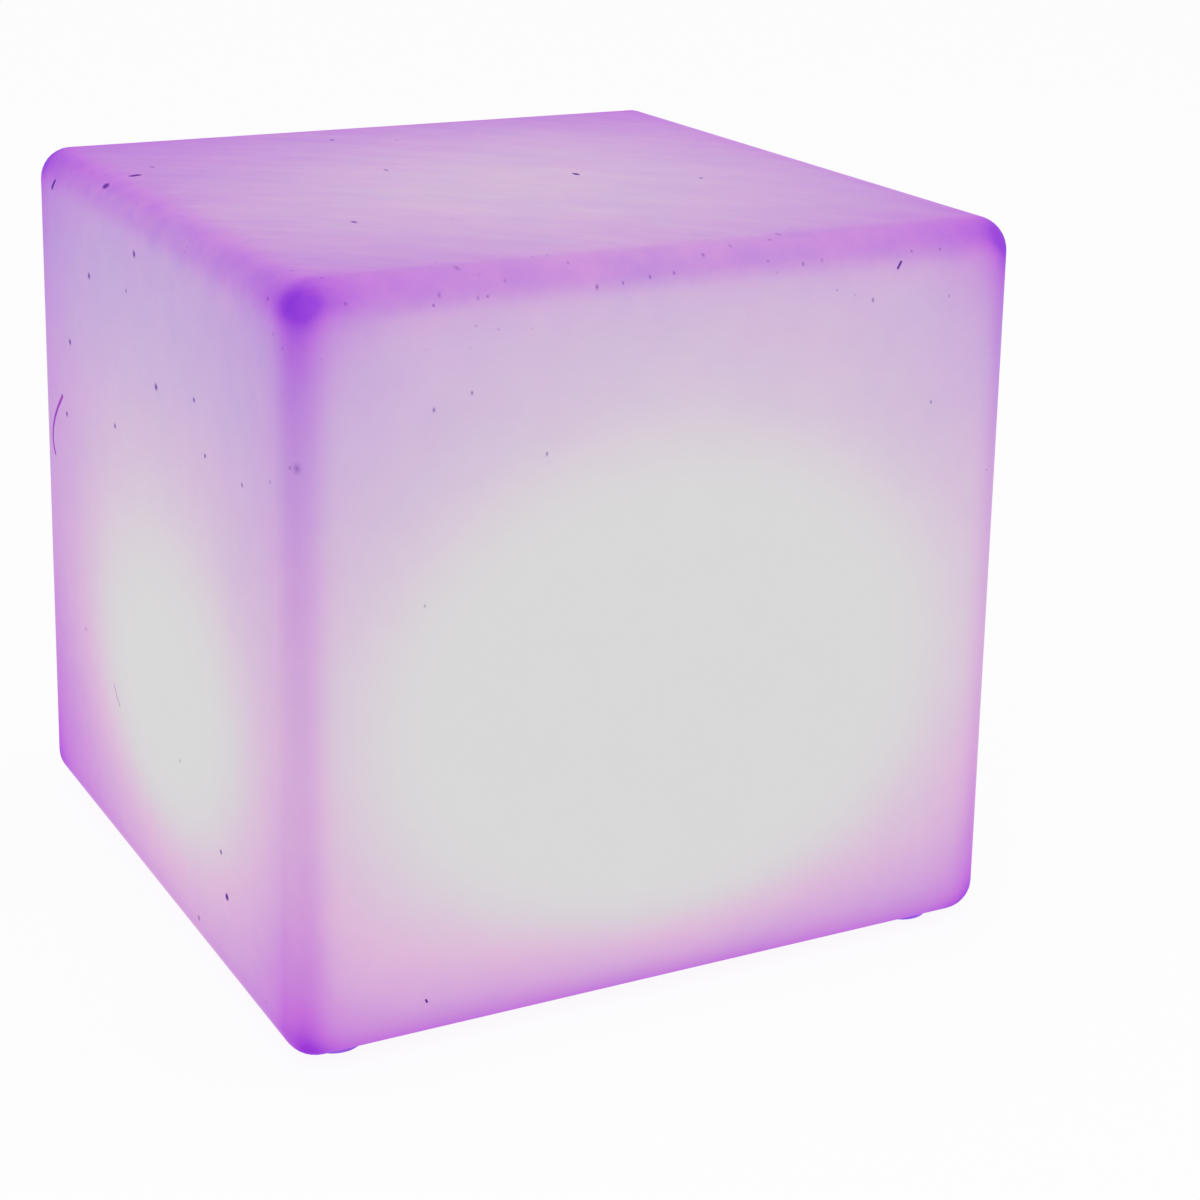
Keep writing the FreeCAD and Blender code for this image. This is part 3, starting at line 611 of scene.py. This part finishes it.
def wipe_arcs(tree, x, y):
    """What a cloth's sweep leaves: noise over the distance from where the arm turns, and drawn out
    along the arc round it. A fine layer, a broad one, and the crests of the fine one as lines."""
    right, toward = x - ARM_PIVOT[0], y - ARM_PIVOT[1]
    reach = far(right, toward) * MM
    arc = right.math("ARCTAN2", toward)

    def layer(across, along, detail):
        """Noise with across of its cells to a metre outwards, and along of them to a radian."""
        join = tree.nodes.new("ShaderNodeCombineXYZ")
        tree.links.new((reach * across).socket, join.inputs[0])
        tree.links.new((arc * along).socket, join.inputs[1])
        node = tree.nodes.new("ShaderNodeTexNoise")
        node.inputs["Scale"].default_value = 1.0
        node.inputs["Detail"].default_value = detail
        node.inputs["Distortion"].default_value = 0.15
        tree.links.new(join.outputs[0], node.inputs["Vector"])
        return Field(tree, node.outputs["Fac"])

    fine = layer(300.0, 22.0, 3.0)
    broad = layer(60.0, 9.0, 3.0)
    lines = layer(520.0, 16.0, 1.0).ramp(0.60, 0.78)
    patches = noise(tree, 9.0, detail=2.0).ramp(0.38, 0.62, 0.25, 1.0)
    return ((fine - 0.5) * 0.09 - lines * 0.03) * patches + (broad - 0.5) * 0.08


def shell_material():
    """Lit translucent polyethylene: a glow with wipe streaks on top, specks, a few scratches and
    worn edges, over a satin surface with a fine moulded grain."""
    material, tree, shader = blank("lit_polyethylene")
    x, y, z = axes(tree)
    level = reading(tree, glow_level, "Level")
    half = half_side(z)
    from_x, from_y = half - x.size(), half - y.size()
    facing_x = from_x.ramp(4.0, 16.0, 1.0, 0.0)
    # less light reaches the back of the left and right walls
    level = level - facing_x * y.ramp(50.0, 190.0, 0.0, 0.050)
    # and a little less reaches all but the brightest places
    level = level - level.ramp(0.85, 1.0, 0.016, 0.0)
    level = level.math("SMOOTH_MAX", DARKEST_LEVEL, DARKEST_EASING)

    side = from_x.smaller(from_y)
    from_edge = far(side, SHELL_TOP - z)
    by_rim = from_edge.bell(RIM_REACH)

    # long fine arcs left by a cloth on the flat of the top
    on_top = z.ramp(379.0, 385.8)
    level = level + wipe_arcs(tree, x, y) * on_top * side.ramp(9.0, 24.0)
    # painted light: the glow is uneven, as the moulding's wall is never quite even, least of all
    # round the top edges
    level = level + (noise(tree, 9.0, detail=3.0) - 0.5) * 0.03
    mottle = noise(tree, 55.0, detail=4.0, rough=0.6) - 0.5
    level = level + mottle * (by_rim * 0.09 + 0.045)
    # painted shade: the glow on the top's far left is a little darker than on its near right
    level = level - (y - x * 0.7).ramp(0.0, 200.0, 0.0, 0.045) * on_top

    # the top edges are rubbed, most along the front
    by_edge = from_edge.ramp(10.0, 45.0, 1.0, 0.0)
    front = (y + half).ramp(10.0, 60.0, 1.0, 0.35)
    nicks = reading(tree, dirt_specks, "Mask", Scale=125.0, Share=0.9, Radius=0.11)
    nicks = nicks * by_edge * front * noise(tree, 20.0).ramp(0.42, 0.55)
    dust = reading(tree, dirt_specks, "Mask", Scale=60.0, Share=0.04, Radius=0.05)
    spots, scratches = marks(tree)
    dirt = (spots * (1.0 - by_rim * 0.2)).larger(nicks * 0.45).larger(dust * 0.45)

    colour = reading(tree, glow_palette, "Color", Level=level)
    # the painted glow is redder low down and along the edges, bluer high up, and neither in the
    # white middle of a wall
    redder = far(from_x, from_y).bell(RIM_REACH) * 0.030 + by_rim * (mottle * 0.3 + 0.075)
    redder = redder - on_top * 0.080
    redder = redder + z.ramp(20.0, 340.0, 0.0, -0.114) * (1.0 - on_top) + 0.090
    redder = redder - facing_x * z.ramp(250.0, 350.0, 0.0, 0.060)
    redder = redder + (noise(tree, 22.0, detail=3.0, shift=(3.0, 1.0, 2.0)) - 0.5) * 0.12
    warm = redder * level.ramp(0.82, 0.98, 1.0, 0.0) + 1.0
    tint = tree.nodes.new("ShaderNodeCombineXYZ")
    tree.links.new(warm.socket, tint.inputs[0])
    tint.inputs[1].default_value = 1.0
    tint.inputs[2].default_value = 1.0
    colour = Field(tree, vector(tree, "MULTIPLY", colour.socket, tint.outputs[0]))
    colour = mixed(tree, scratches * 0.9, colour, linear(150, 40, 186))
    colour = mixed(tree, dirt * 0.95, colour, linear(80, 28, 146))
    # the studio's light on the surface adds to the glow, most on top, so the glow is that much less
    low_down = (z - SHELL_FOOT).ramp(4.0, 24.0, 0.022, 0.0)
    studio = on_top * side.ramp(8.0, 22.0) * 0.045 + facing_x * 0.02 + low_down
    glow = vector(tree, "SUBTRACT", colour.socket, STUDIO_LIGHT)
    feed(shader, "Emission Color", Field(tree, vector(tree, "SUBTRACT", glow, studio.socket)))
    shader.inputs["Emission Strength"].default_value = 1.0

    grain = placed(tree, moulded_grain, Scale=1400.0)
    tone = Field(tree, grain.outputs["Tone"])
    base = mixed(tree, tone, linear(34, 26, 44), linear(44, 36, 54))
    base = mixed(tree, dirt * 0.8, base, linear(16, 10, 24))
    feed(shader, "Base Color", base)
    scratched = reading(tree, hairlines, "Mask", Scale=45.0, Amount=0.25)
    feed(shader, "Roughness", tone * 0.12 + scratched * 0.1 + 0.46)
    height = Field(tree, grain.outputs["Height"]) + scratched * -0.4 + dirt * 0.5
    bumped(tree, shader, height, 0.35, 0.00012)
    shader.inputs["IOR"].default_value = 1.5
    shader.inputs["Specular IOR Level"].default_value = 0.03
    return material


def foot_material():
    """Soft translucent feet, lit violet by the shell above them."""
    material, tree, shader = blank("lit_silicone")
    z = axes(tree)[2]
    level = z.ramp(0.0, 5.0, 0.27, 0.33) + (noise(tree, 160.0) - 0.5) * 0.08
    glow = reading(tree, glow_palette, "Color", Level=level)
    feed(shader, "Emission Color", glow)
    shader.inputs["Emission Strength"].default_value = 0.85
    grain = placed(tree, moulded_grain, Scale=1500.0)
    dust = reading(tree, dirt_specks, "Mask", Scale=400.0, Share=0.25, Radius=0.14)
    tone = Field(tree, grain.outputs["Tone"])
    base = mixed(tree, tone, linear(74, 56, 92), linear(98, 78, 116))
    base = mixed(tree, dust * 0.6, base, linear(54, 48, 62))
    feed(shader, "Base Color", base)
    feed(shader, "Roughness", tone * 0.2 + 0.55)
    bumped(tree, shader, Field(tree, grain.outputs["Height"]), 0.4, 0.00015)
    return material


def plastic_material(name, dark, light, grain_scale, rough, dirt=0.0, scratches=0.0):
    """Moulded plastic or rubber: two shades that drift into each other, a fine grain, and dust and
    hairline scratches where it can be touched."""
    material, tree, shader = blank(name)
    grain = placed(tree, moulded_grain, Scale=grain_scale)
    tone = Field(tree, grain.outputs["Tone"])
    height = Field(tree, grain.outputs["Height"])
    base = mixed(tree, tone, dark, light)
    roughness = tone * 0.18 + (rough - 0.09)
    if dirt:
        specks = reading(tree, dirt_specks, "Mask", Scale=240.0, Share=dirt, Radius=0.12)
        base = mixed(tree, specks * 0.55, base, linear(70, 62, 58))
        height = height + specks * 0.4
    if scratches:
        lines = reading(tree, hairlines, "Mask", Scale=110.0, Amount=scratches)
        roughness = roughness + lines * 0.12
        height = height - lines * 0.5
    feed(shader, "Base Color", base)
    feed(shader, "Roughness", roughness)
    bumped(tree, shader, height, 0.4, 0.0001)
    return material


def metal_material(name, dark, light, rough):
    """Plated or brushed metal: drifting shade, fine lines, and duller spots."""
    material, tree, shader = blank(name)
    lines = noise(tree, 1600.0, detail=2.0, stretch=(0.08, 1.0, 1.0))
    clouds = noise(tree, 260.0, detail=4.0)
    base = mixed(tree, clouds, dark, light)
    dull = reading(tree, dirt_specks, "Mask", Scale=900.0, Share=0.2, Radius=0.2)
    feed(shader, "Base Color", mixed(tree, dull * 0.3, base, dark))
    feed(shader, "Roughness", clouds * 0.2 + lines * 0.12 + dull * 0.2 + (rough - 0.16))
    shader.inputs["Metallic"].default_value = 1.0
    bumped(tree, shader, lines, 0.25, 0.00004)
    return material


def board_material(name, mask, track, pad_scale):
    """A printed board: solder mask with the tracks under it as slightly raised, lighter bands."""
    material, tree, shader = blank(name)
    cells = tree.nodes.new("ShaderNodeTexVoronoi")
    cells.distance = "CHEBYCHEV"
    cells.feature = "DISTANCE_TO_EDGE"
    tree.links.new(object_place(tree), cells.inputs["Vector"])
    cells.inputs["Scale"].default_value = pad_scale
    cells.inputs["Randomness"].default_value = 0.7
    tracks = Field(tree, cells.outputs["Distance"]).ramp(0.05, 0.09, 1.0, 0.0)
    clouds = noise(tree, 120.0)
    base = mixed(tree, clouds * 0.5, mask, tuple(0.82 * c for c in mask[:3]) + (1.0,))
    feed(shader, "Base Color", mixed(tree, tracks, base, track))
    feed(shader, "Roughness", clouds * 0.15 + 0.25)
    bumped(tree, shader, tracks, 0.4, 0.00005)
    return material


def frost_material():
    """Frosted dome: it scatters the light of the lamps under it."""
    material, tree, shader = blank("frosted_dome")
    grain = placed(tree, moulded_grain, Scale=2200.0)
    tone = Field(tree, grain.outputs["Tone"])
    feed(shader, "Base Color", mixed(tree, tone, linear(222, 214, 226), linear(238, 234, 240)))
    x, y, _ = axes(tree)
    lit = far(x, y).ramp(10.0, 62.0, 1.0, 0.55)
    glow = mixed(tree, lit, linear(170, 90, 222), linear(226, 200, 226))
    feed(shader, "Emission Color", glow)
    shader.inputs["Emission Strength"].default_value = 0.8
    feed(shader, "Roughness", tone * 0.2 + 0.5)
    bumped(tree, shader, Field(tree, grain.outputs["Height"]), 0.5, 0.0001)
    return material


def emitter_material():
    """Colour-mixing emitters: a lit round window in a white square body."""
    material, tree, shader = blank("emitter_resin")
    clouds = noise(tree, 900.0)
    z = axes(tree)[2]
    window = z.ramp(65.6, 66.0)
    base = mixed(tree, clouds, linear(226, 224, 220), linear(244, 242, 238))
    feed(shader, "Base Color", mixed(tree, window * 0.4, base, linear(232, 208, 150)))
    lit = mixed(tree, clouds, linear(190, 120, 255), linear(240, 190, 255))
    glow = mixed(tree, window, linear(0, 0, 0), lit)
    feed(shader, "Emission Color", glow)
    shader.inputs["Emission Strength"].default_value = 2.0
    feed(shader, "Roughness", clouds * 0.2 + 0.2)
    return material


def wrap_material():
    """Shrink-wrap on a cell: glossy sleeve with shrink wrinkles near its ends."""
    material, tree, shader = blank("cell_sleeve")
    x = axes(tree)[0]
    ends = x.size().ramp(26.0, 33.0)
    wrinkles = noise(tree, 420.0, stretch=(0.2, 1.0, 1.0)) * ends
    clouds = noise(tree, 90.0)
    feed(shader, "Base Color", mixed(tree, clouds, linear(24, 92, 128), linear(38, 116, 150)))
    feed(shader, "Roughness", clouds * 0.12 + ends * 0.1 + 0.22)
    bumped(tree, shader, wrinkles, 0.6, 0.0003)
    return material


def wire_material():
    """Wire insulation: one wire of each pair red, the other black, matt with fine wrinkles."""
    material, tree, shader = blank("wire_insulation")
    pick = noise(tree, 35.0, detail=0.0).ramp(0.47, 0.53)
    clouds = noise(tree, 500.0)
    red = mixed(tree, clouds, linear(150, 26, 24), linear(178, 40, 34))
    black = mixed(tree, clouds, linear(24, 24, 26), linear(40, 40, 44))
    feed(shader, "Base Color", mixed(tree, pick, red, black))
    feed(shader, "Roughness", clouds * 0.2 + 0.4)
    bumped(tree, shader, clouds, 0.3, 0.00006)
    return material


FINISHES = {
    "shell_plastic": shell_material(),
    "foot_silicone": foot_material(),
    "housing_plastic": plastic_material(
        "white_moulded_plastic",
        linear(206, 202, 210),
        linear(226, 223, 229),
        1300.0,
        0.42,
        dirt=0.08,
        scratches=0.2,
    ),
    "seal_silicone": plastic_material(
        "grey_silicone", linear(128, 126, 136), linear(150, 148, 158), 1000.0, 0.6, dirt=0.12
    ),
    "insert_brass": metal_material(
        "insert_brass", linear(168, 128, 62), linear(206, 168, 92), 0.35
    ),
    "screw_steel": metal_material(
        "screw_steel", linear(138, 140, 146), linear(192, 194, 198), 0.34
    ),
    "dome_frost": frost_material(),
    "board_white": board_material(
        "white_board", linear(232, 232, 228), linear(214, 212, 202), 90.0
    ),
    "board_green": board_material("green_board", linear(18, 84, 46), linear(38, 118, 66), 160.0),
    "emitter_resin": emitter_material(),
    "component_black": plastic_material(
        "component_black", linear(22, 22, 24), linear(40, 40, 43), 1800.0, 0.45
    ),
    "tray_black": plastic_material(
        "tray_black", linear(20, 20, 22), linear(38, 38, 42), 1200.0, 0.5
    ),
    "cell_wrap": wrap_material(),
    "contact_nickel": metal_material(
        "contact_nickel", linear(150, 148, 142), linear(204, 202, 196), 0.28
    ),
    "button_white": plastic_material(
        "button_cap",
        linear(196, 190, 202),
        linear(222, 217, 227),
        1500.0,
        0.5,
        dirt=0.06,
        scratches=0.15,
    ),
    "jack_black": plastic_material(
        "jack_black", linear(16, 16, 18), linear(32, 32, 35), 1500.0, 0.38
    ),
    "wire_insulation": wire_material(),
}

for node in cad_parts.values():
    for place in node.material_slots:
        place.material = FINISHES[place.material.name]


# ---------------------------------------------------------------- pieces formed here


def eased(corners):
    """A profile through these (radius, height, easing) corners, in millimetres. A corner with an
    easing becomes points of a parabola that touches the legs that far before and after it."""
    corners = np.array(corners)
    here, easing = corners[:, :2], corners[:, 2:]
    toward = np.roll(here, -1, axis=0) - here
    toward /= np.linalg.norm(toward, axis=1, keepdims=True)
    before = here - np.roll(toward, 1, axis=0) * easing
    after = here + toward * easing
    steps = 5
    share = np.linspace(0.0, 1.0, steps)[:, None, None]
    bends = (1 - share) ** 2 * before + 2 * share * (1 - share) * here + share**2 * after
    kept = (easing > 0) | (np.arange(steps) == 0)
    return np.swapaxes(bends, 0, 1)[kept]


def closed_tube(points, rings, steps):
    """Quads between neighbouring rings of points, and a fan at each end. The points are the rings'
    and then the two middles of the fans. Returns points, quads and triangles."""
    grid = np.arange(rings * steps).reshape(rings, steps)
    beside = np.roll(grid, -1, axis=1)
    walls = np.stack([grid[:-1], beside[:-1], beside[1:], grid[1:]], axis=-1).reshape(-1, 4)
    first = np.stack([np.full(steps, rings * steps), beside[0], grid[0]], axis=-1)
    last = np.stack([np.full(steps, rings * steps + 1), grid[-1], beside[-1]], axis=-1)
    return points, walls, np.concatenate([first, last])


def turned(corners, x, y, steps):
    """A profile turned about an upright line: its radius times cosine and sine of the angle, and
    its height. It starts and ends on the line, where the rings close to a point."""
    profile = eased(corners)
    angle = np.linspace(0.0, 2 * math.pi, steps, endpoint=False)
    radius, height = profile[1:-1, :1], profile[1:-1, 1:]
    height = np.repeat(height, steps, axis=1)
    rings = np.stack([x + radius * np.cos(angle), y + radius * np.sin(angle), height], axis=-1)
    middles = [[x, y, profile[0, 1]], [x, y, profile[-1, 1]]]
    return closed_tube(np.concatenate([rings.reshape(-1, 3), middles]), len(radius), steps)


def bar(middle, half_width, half_height, steps=28):
    """A soft-edged bar along a level line of middle points. Its section at each is a square with
    round corners: the square roots of cosine and sine, times the half width and height there."""
    along = np.gradient(middle, axis=0)
    along /= np.linalg.norm(along, axis=1, keepdims=True)
    across = np.cross([0.0, 0.0, 1.0], along)
    angle = np.linspace(0.0, 2 * math.pi, steps, endpoint=False)
    wide = np.sign(np.cos(angle)) * np.abs(np.cos(angle)) ** 0.5
    high = np.sign(np.sin(angle)) * np.abs(np.sin(angle)) ** 0.5
    rings = middle[:, None, :] + across[:, None, :] * (half_width[:, None] * wide)[..., None]
    rings[..., 2] += half_height[:, None] * high
    return closed_tube(np.concatenate([rings.reshape(-1, 3), middle[[0, -1]]]), len(middle), steps)


def add_piece(name, shapes, body, slot, *nodes):
    """One object from shapes in millimetres, that wears a slot's finish and stands for the named
    CAD nodes. It rides on a body, unless it is given none."""
    points = np.concatenate([shape[0] for shape in shapes]) * MM
    starts = np.cumsum([0] + [len(shape[0]) for shape in shapes])
    faces = []
    for start, (_, walls, ends) in zip(starts, shapes):
        faces += (walls + start).tolist() + (ends + start).tolist()
    mesh = bpy.data.meshes.new(name)
    mesh.from_pydata(points.tolist(), [], faces)
    outward = bmesh.new()
    outward.from_mesh(mesh)
    bmesh.ops.recalc_face_normals(outward, faces=outward.faces)
    for edge in outward.edges:
        edge.smooth = edge.calc_face_angle(0.0) < SHARP_ANGLE
    for face in outward.faces:
        face.smooth = True
    outward.to_mesh(mesh)
    outward.free()
    mesh.materials.append(FINISHES[slot])
    piece = bpy.data.objects.new(name, mesh)
    bpy.context.scene.collection.objects.link(piece)
    if body:
        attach(piece, body)
    if nodes:
        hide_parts(*nodes)
    return piece


def bumper(x, y):
    """A foot with a hollowed sole, a groove round it and an eased rim."""
    sole = (
        (0.0, 0.6, 0),
        (8.4, 0.6, 0.4),
        (9.4, 0.0, 0.3),
        (11.4, 0.0, 0.15),
        (11.8, 0.4, 0.1),
        (12.3, 0.4, 0.1),
        (12.7, 0.0, 0.15),
        (15.0, 0.0, 1.0),
        (15.0, 5.0, 0.2),
        (0.0, 5.0, 0),
    )
    return turned(sole, x, y, 72)


def push_button():
    """The button's cap with a dished face, its flange and post, and a raised ring and stroke as
    mark. The ring is an arc of circle, open where the stroke stands."""
    cap = (
        (0.0, 10.85, 0),
        (3.6, 10.75, 0.6),
        (6.0, 10.5, 0.4),
        (7.0, 10.5, 0.6),
        (7.0, 18.6, 0.2),
        (9.5, 18.6, 0.2),
        (9.5, 20.1, 0.2),
        (2.5, 20.1, 0.2),
        (2.5, 22.0, 0.2),
        (0.0, 22.0, 0),
    )
    turn = np.radians(np.linspace(125.0, 415.0, 49))
    level = np.full(len(turn), 10.72)
    ring = np.stack([BUTTON_X + 2.5 * np.cos(turn), 2.5 * np.sin(turn), level], axis=1)
    line = np.linspace((BUTTON_X, 0.9, 10.72), (BUTTON_X, 3.5, 10.72), 7)
    mark = [
        bar(path, np.full(len(path), 0.32), np.full(len(path), 0.2), 12) for path in (ring, line)
    ]
    return [turned(cap, BUTTON_X, 0.0, 80), *mark]


def cap_lid():
    """The port cap: a lid with a dished face and eased rim, and a ring plug with a bead near its
    end. Its finger tab keeps its width and then rounds off as the root of one minus the square of
    the share, and has grip ridges, the upper halves of a cosine, across both sides."""
    lid = (
        (0.0, 10.25, 0),
        (5.0, 10.2, 0.8),
        (7.4, 9.9, 0.6),
        (10.5, 9.9, 0.7),
        (10.5, 11.9, 0.3),
        (7.6, 11.9, 0.2),
        (7.6, 13.3, 0.2),
        (7.9, 14.0, 0.3),
        (7.5, 14.9, 0.2),
        (6.4, 14.9, 0.2),
        (6.4, 11.9, 0.4),
        (0.0, 11.9, 0),
    )
    share = np.sin(np.linspace(0.0, 0.5, 54) * math.pi)
    rounding = np.clip((share - 0.5) / 0.5, 0.0, 1.0)
    ridges = 0.22 * np.clip(np.cos(share * 4 * 2 * math.pi), 0.0, 1.0) * (share > 0.3)
    root, reach = np.array([PORT_X + 9.0, 0.0, 10.9]), np.array([5.0, 0.0, 0.0])
    middle = root + reach * share[:, None]
    half_width = 3.46 * np.sqrt(1.02 - rounding**2)
    half_height = (0.98 - ridges) * np.sqrt(1.02 - rounding**6)
    return [turned(lid, PORT_X, 0.0, 96), bar(middle, half_width, half_height)]


def cap_strap():
    """The cap's strap, from inside the anchor's pad to the lid: a flat soft-edged bar that thins,
    as e to the power of minus a square, where it bends."""
    middle = np.linspace((2.6, 0.0, 10.9), (11.2, 0.0, 10.9), 44)
    thin = 0.3 * np.exp(-(((middle[:, 0] - STRAP_BEND_X) / 1.2) ** 2))
    return [bar(middle, 2.5 - thin * 0.8, 0.7 - thin)]


for node, x, y in (
    ("foot_front_left", -FOOT_PLACE, -FOOT_PLACE),
    ("foot_front_right", FOOT_PLACE, -FOOT_PLACE),
    ("foot_back_left", -FOOT_PLACE, FOOT_PLACE),
    ("foot_back_right", FOOT_PLACE, FOOT_PLACE),
):
    add_piece("bumper" + node[4:], [bumper(x, y)], "cube", "foot_silicone", node)
add_piece("push_button", push_button(), "power_button", "button_white", "power_button")
add_piece("cap_lid", cap_lid(), "port_cap", "seal_silicone", "port_cap")
strap = add_piece("cap_strap", cap_strap(), None, "seal_silicone")
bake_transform(strap)


# ---------------------------------------------------------------- studio


def white_for_camera(tree):
    """1 for what the camera sees straight, in a mirror or through glass, and 0 for light."""
    path = tree.nodes.new("ShaderNodeLightPath")
    seen = Field(tree, path.outputs["Is Camera Ray"])
    seen = seen.larger(Field(tree, path.outputs["Is Glossy Ray"]))
    return seen.larger(Field(tree, path.outputs["Is Transmission Ray"]))


def make_floor():
    """A round plain floor, white for the camera but with a share of the object's soft shadow. Its
    rings lie round a middle point, and each reaches the square of its share of them."""
    turns, rings = 64, 10
    angle = np.linspace(0.0, 2 * math.pi, turns, endpoint=False)
    reach = FLOOR_REACH * (np.arange(1, rings + 1) / rings) ** 2
    around = np.stack([np.cos(angle), np.sin(angle), np.zeros(turns)], axis=1)
    points = np.concatenate([(reach[:, None, None] * around).reshape(-1, 3), np.zeros((1, 3))])
    points[:, 2] = FLOOR_HEIGHT
    grid = np.arange(rings * turns).reshape(rings, turns)
    beside = np.roll(grid, -1, axis=1)
    bands = np.stack([grid[:-1], grid[1:], beside[1:], beside[:-1]], axis=-1).reshape(-1, 4)
    inner = np.stack([np.full(turns, rings * turns), grid[0], beside[0]], axis=-1)
    mesh = bpy.data.meshes.new("studio_floor")
    mesh.from_pydata(points.tolist(), [], bands.tolist() + inner.tolist())
    floor = bpy.data.objects.new("studio_floor", mesh)
    bpy.context.scene.collection.objects.link(floor)
    material, tree, shader = blank("pale_floor")
    shader.inputs["Base Color"].default_value = (0.86, 0.86, 0.86, 1.0)
    shader.inputs["Roughness"].default_value = 0.9
    shader.inputs["Specular IOR Level"].default_value = 0.0
    light = tree.nodes.new("ShaderNodeEmission")
    light.inputs["Strength"].default_value = 1.0
    mix = tree.nodes.new("ShaderNodeMixShader")
    share = white_for_camera(tree) * FLOOR_WHITE
    tree.links.new(share.socket, mix.inputs[0])
    tree.links.new(shader.outputs[0], mix.inputs[1])
    tree.links.new(light.outputs[0], mix.inputs[2])
    # seen from below, the floor is clear, so that the underside can be looked at
    clear = tree.nodes.new("ShaderNodeBsdfTransparent")
    under = tree.nodes.new("ShaderNodeMixShader")
    tree.links.new(tree.nodes.new("ShaderNodeNewGeometry").outputs["Backfacing"], under.inputs[0])
    tree.links.new(mix.outputs[0], under.inputs[1])
    tree.links.new(clear.outputs[0], under.inputs[2])
    tree.links.new(under.outputs[0], tree.nodes["Material Output"].inputs["Surface"])
    mesh.materials.append(material)


def make_world():
    """An even soft light all round that the camera sees as white."""
    world = bpy.data.worlds.new("soft_studio")
    bpy.context.scene.world = world
    world.use_nodes = True
    tree = world.node_tree
    background = tree.nodes["Background"]
    background.inputs["Color"].default_value = (1.0, 1.0, 1.0, 1.0)
    strength = white_for_camera(tree) * (1.0 - ROOM_LIGHT) + ROOM_LIGHT
    tree.links.new(strength.socket, background.inputs["Strength"])


def make_lamp(name, place, aim, side, watts):
    """A square soft lamp at place that points to aim."""
    lamp = bpy.data.lights.new(name, "AREA")
    lamp.shape = "SQUARE"
    lamp.size = side
    lamp.energy = watts
    stand = bpy.data.objects.new(name, lamp)
    stand.location = place
    stand.rotation_euler = (Vector(aim) - Vector(place)).to_track_quat("-Z", "Y").to_euler()
    bpy.context.scene.collection.objects.link(stand)


def make_camera():
    """The camera at the photograph's place and angle."""
    camera = bpy.data.cameras.new("camera")
    camera.lens = CAMERA_LENS
    camera.sensor_width = SENSOR
    camera.shift_x, camera.shift_y = CAMERA_SHIFT
    camera.clip_end = 60.0
    stand = bpy.data.objects.new("camera", camera)
    right, up, back = camera_axes()
    aimed = Matrix(np.stack([right, up, back], axis=1).tolist()).to_4x4()
    stand.matrix_world = Matrix.Translation(CAMERA_PLACE) @ aimed
    bpy.context.scene.collection.objects.link(stand)
    bpy.context.scene.camera = stand


make_floor()
make_world()
make_lamp("key_lamp", (-1.6, -1.8, 2.6), (0.0, 0.0, 0.15), 1.6, 22.0)
make_lamp("fill_lamp", (2.2, -0.8, 1.8), (0.0, 0.0, 0.15), 1.8, 8.0)
# the floor keeps the studio's light from the well under the cube, so it has a faint lamp of its own
make_lamp("well_lamp", (0.0, 0.0, 0.001), (0.0, 0.0, 0.1), 0.15, 0.022)
make_camera()
bpy.context.scene.view_settings.view_transform = "Standard"
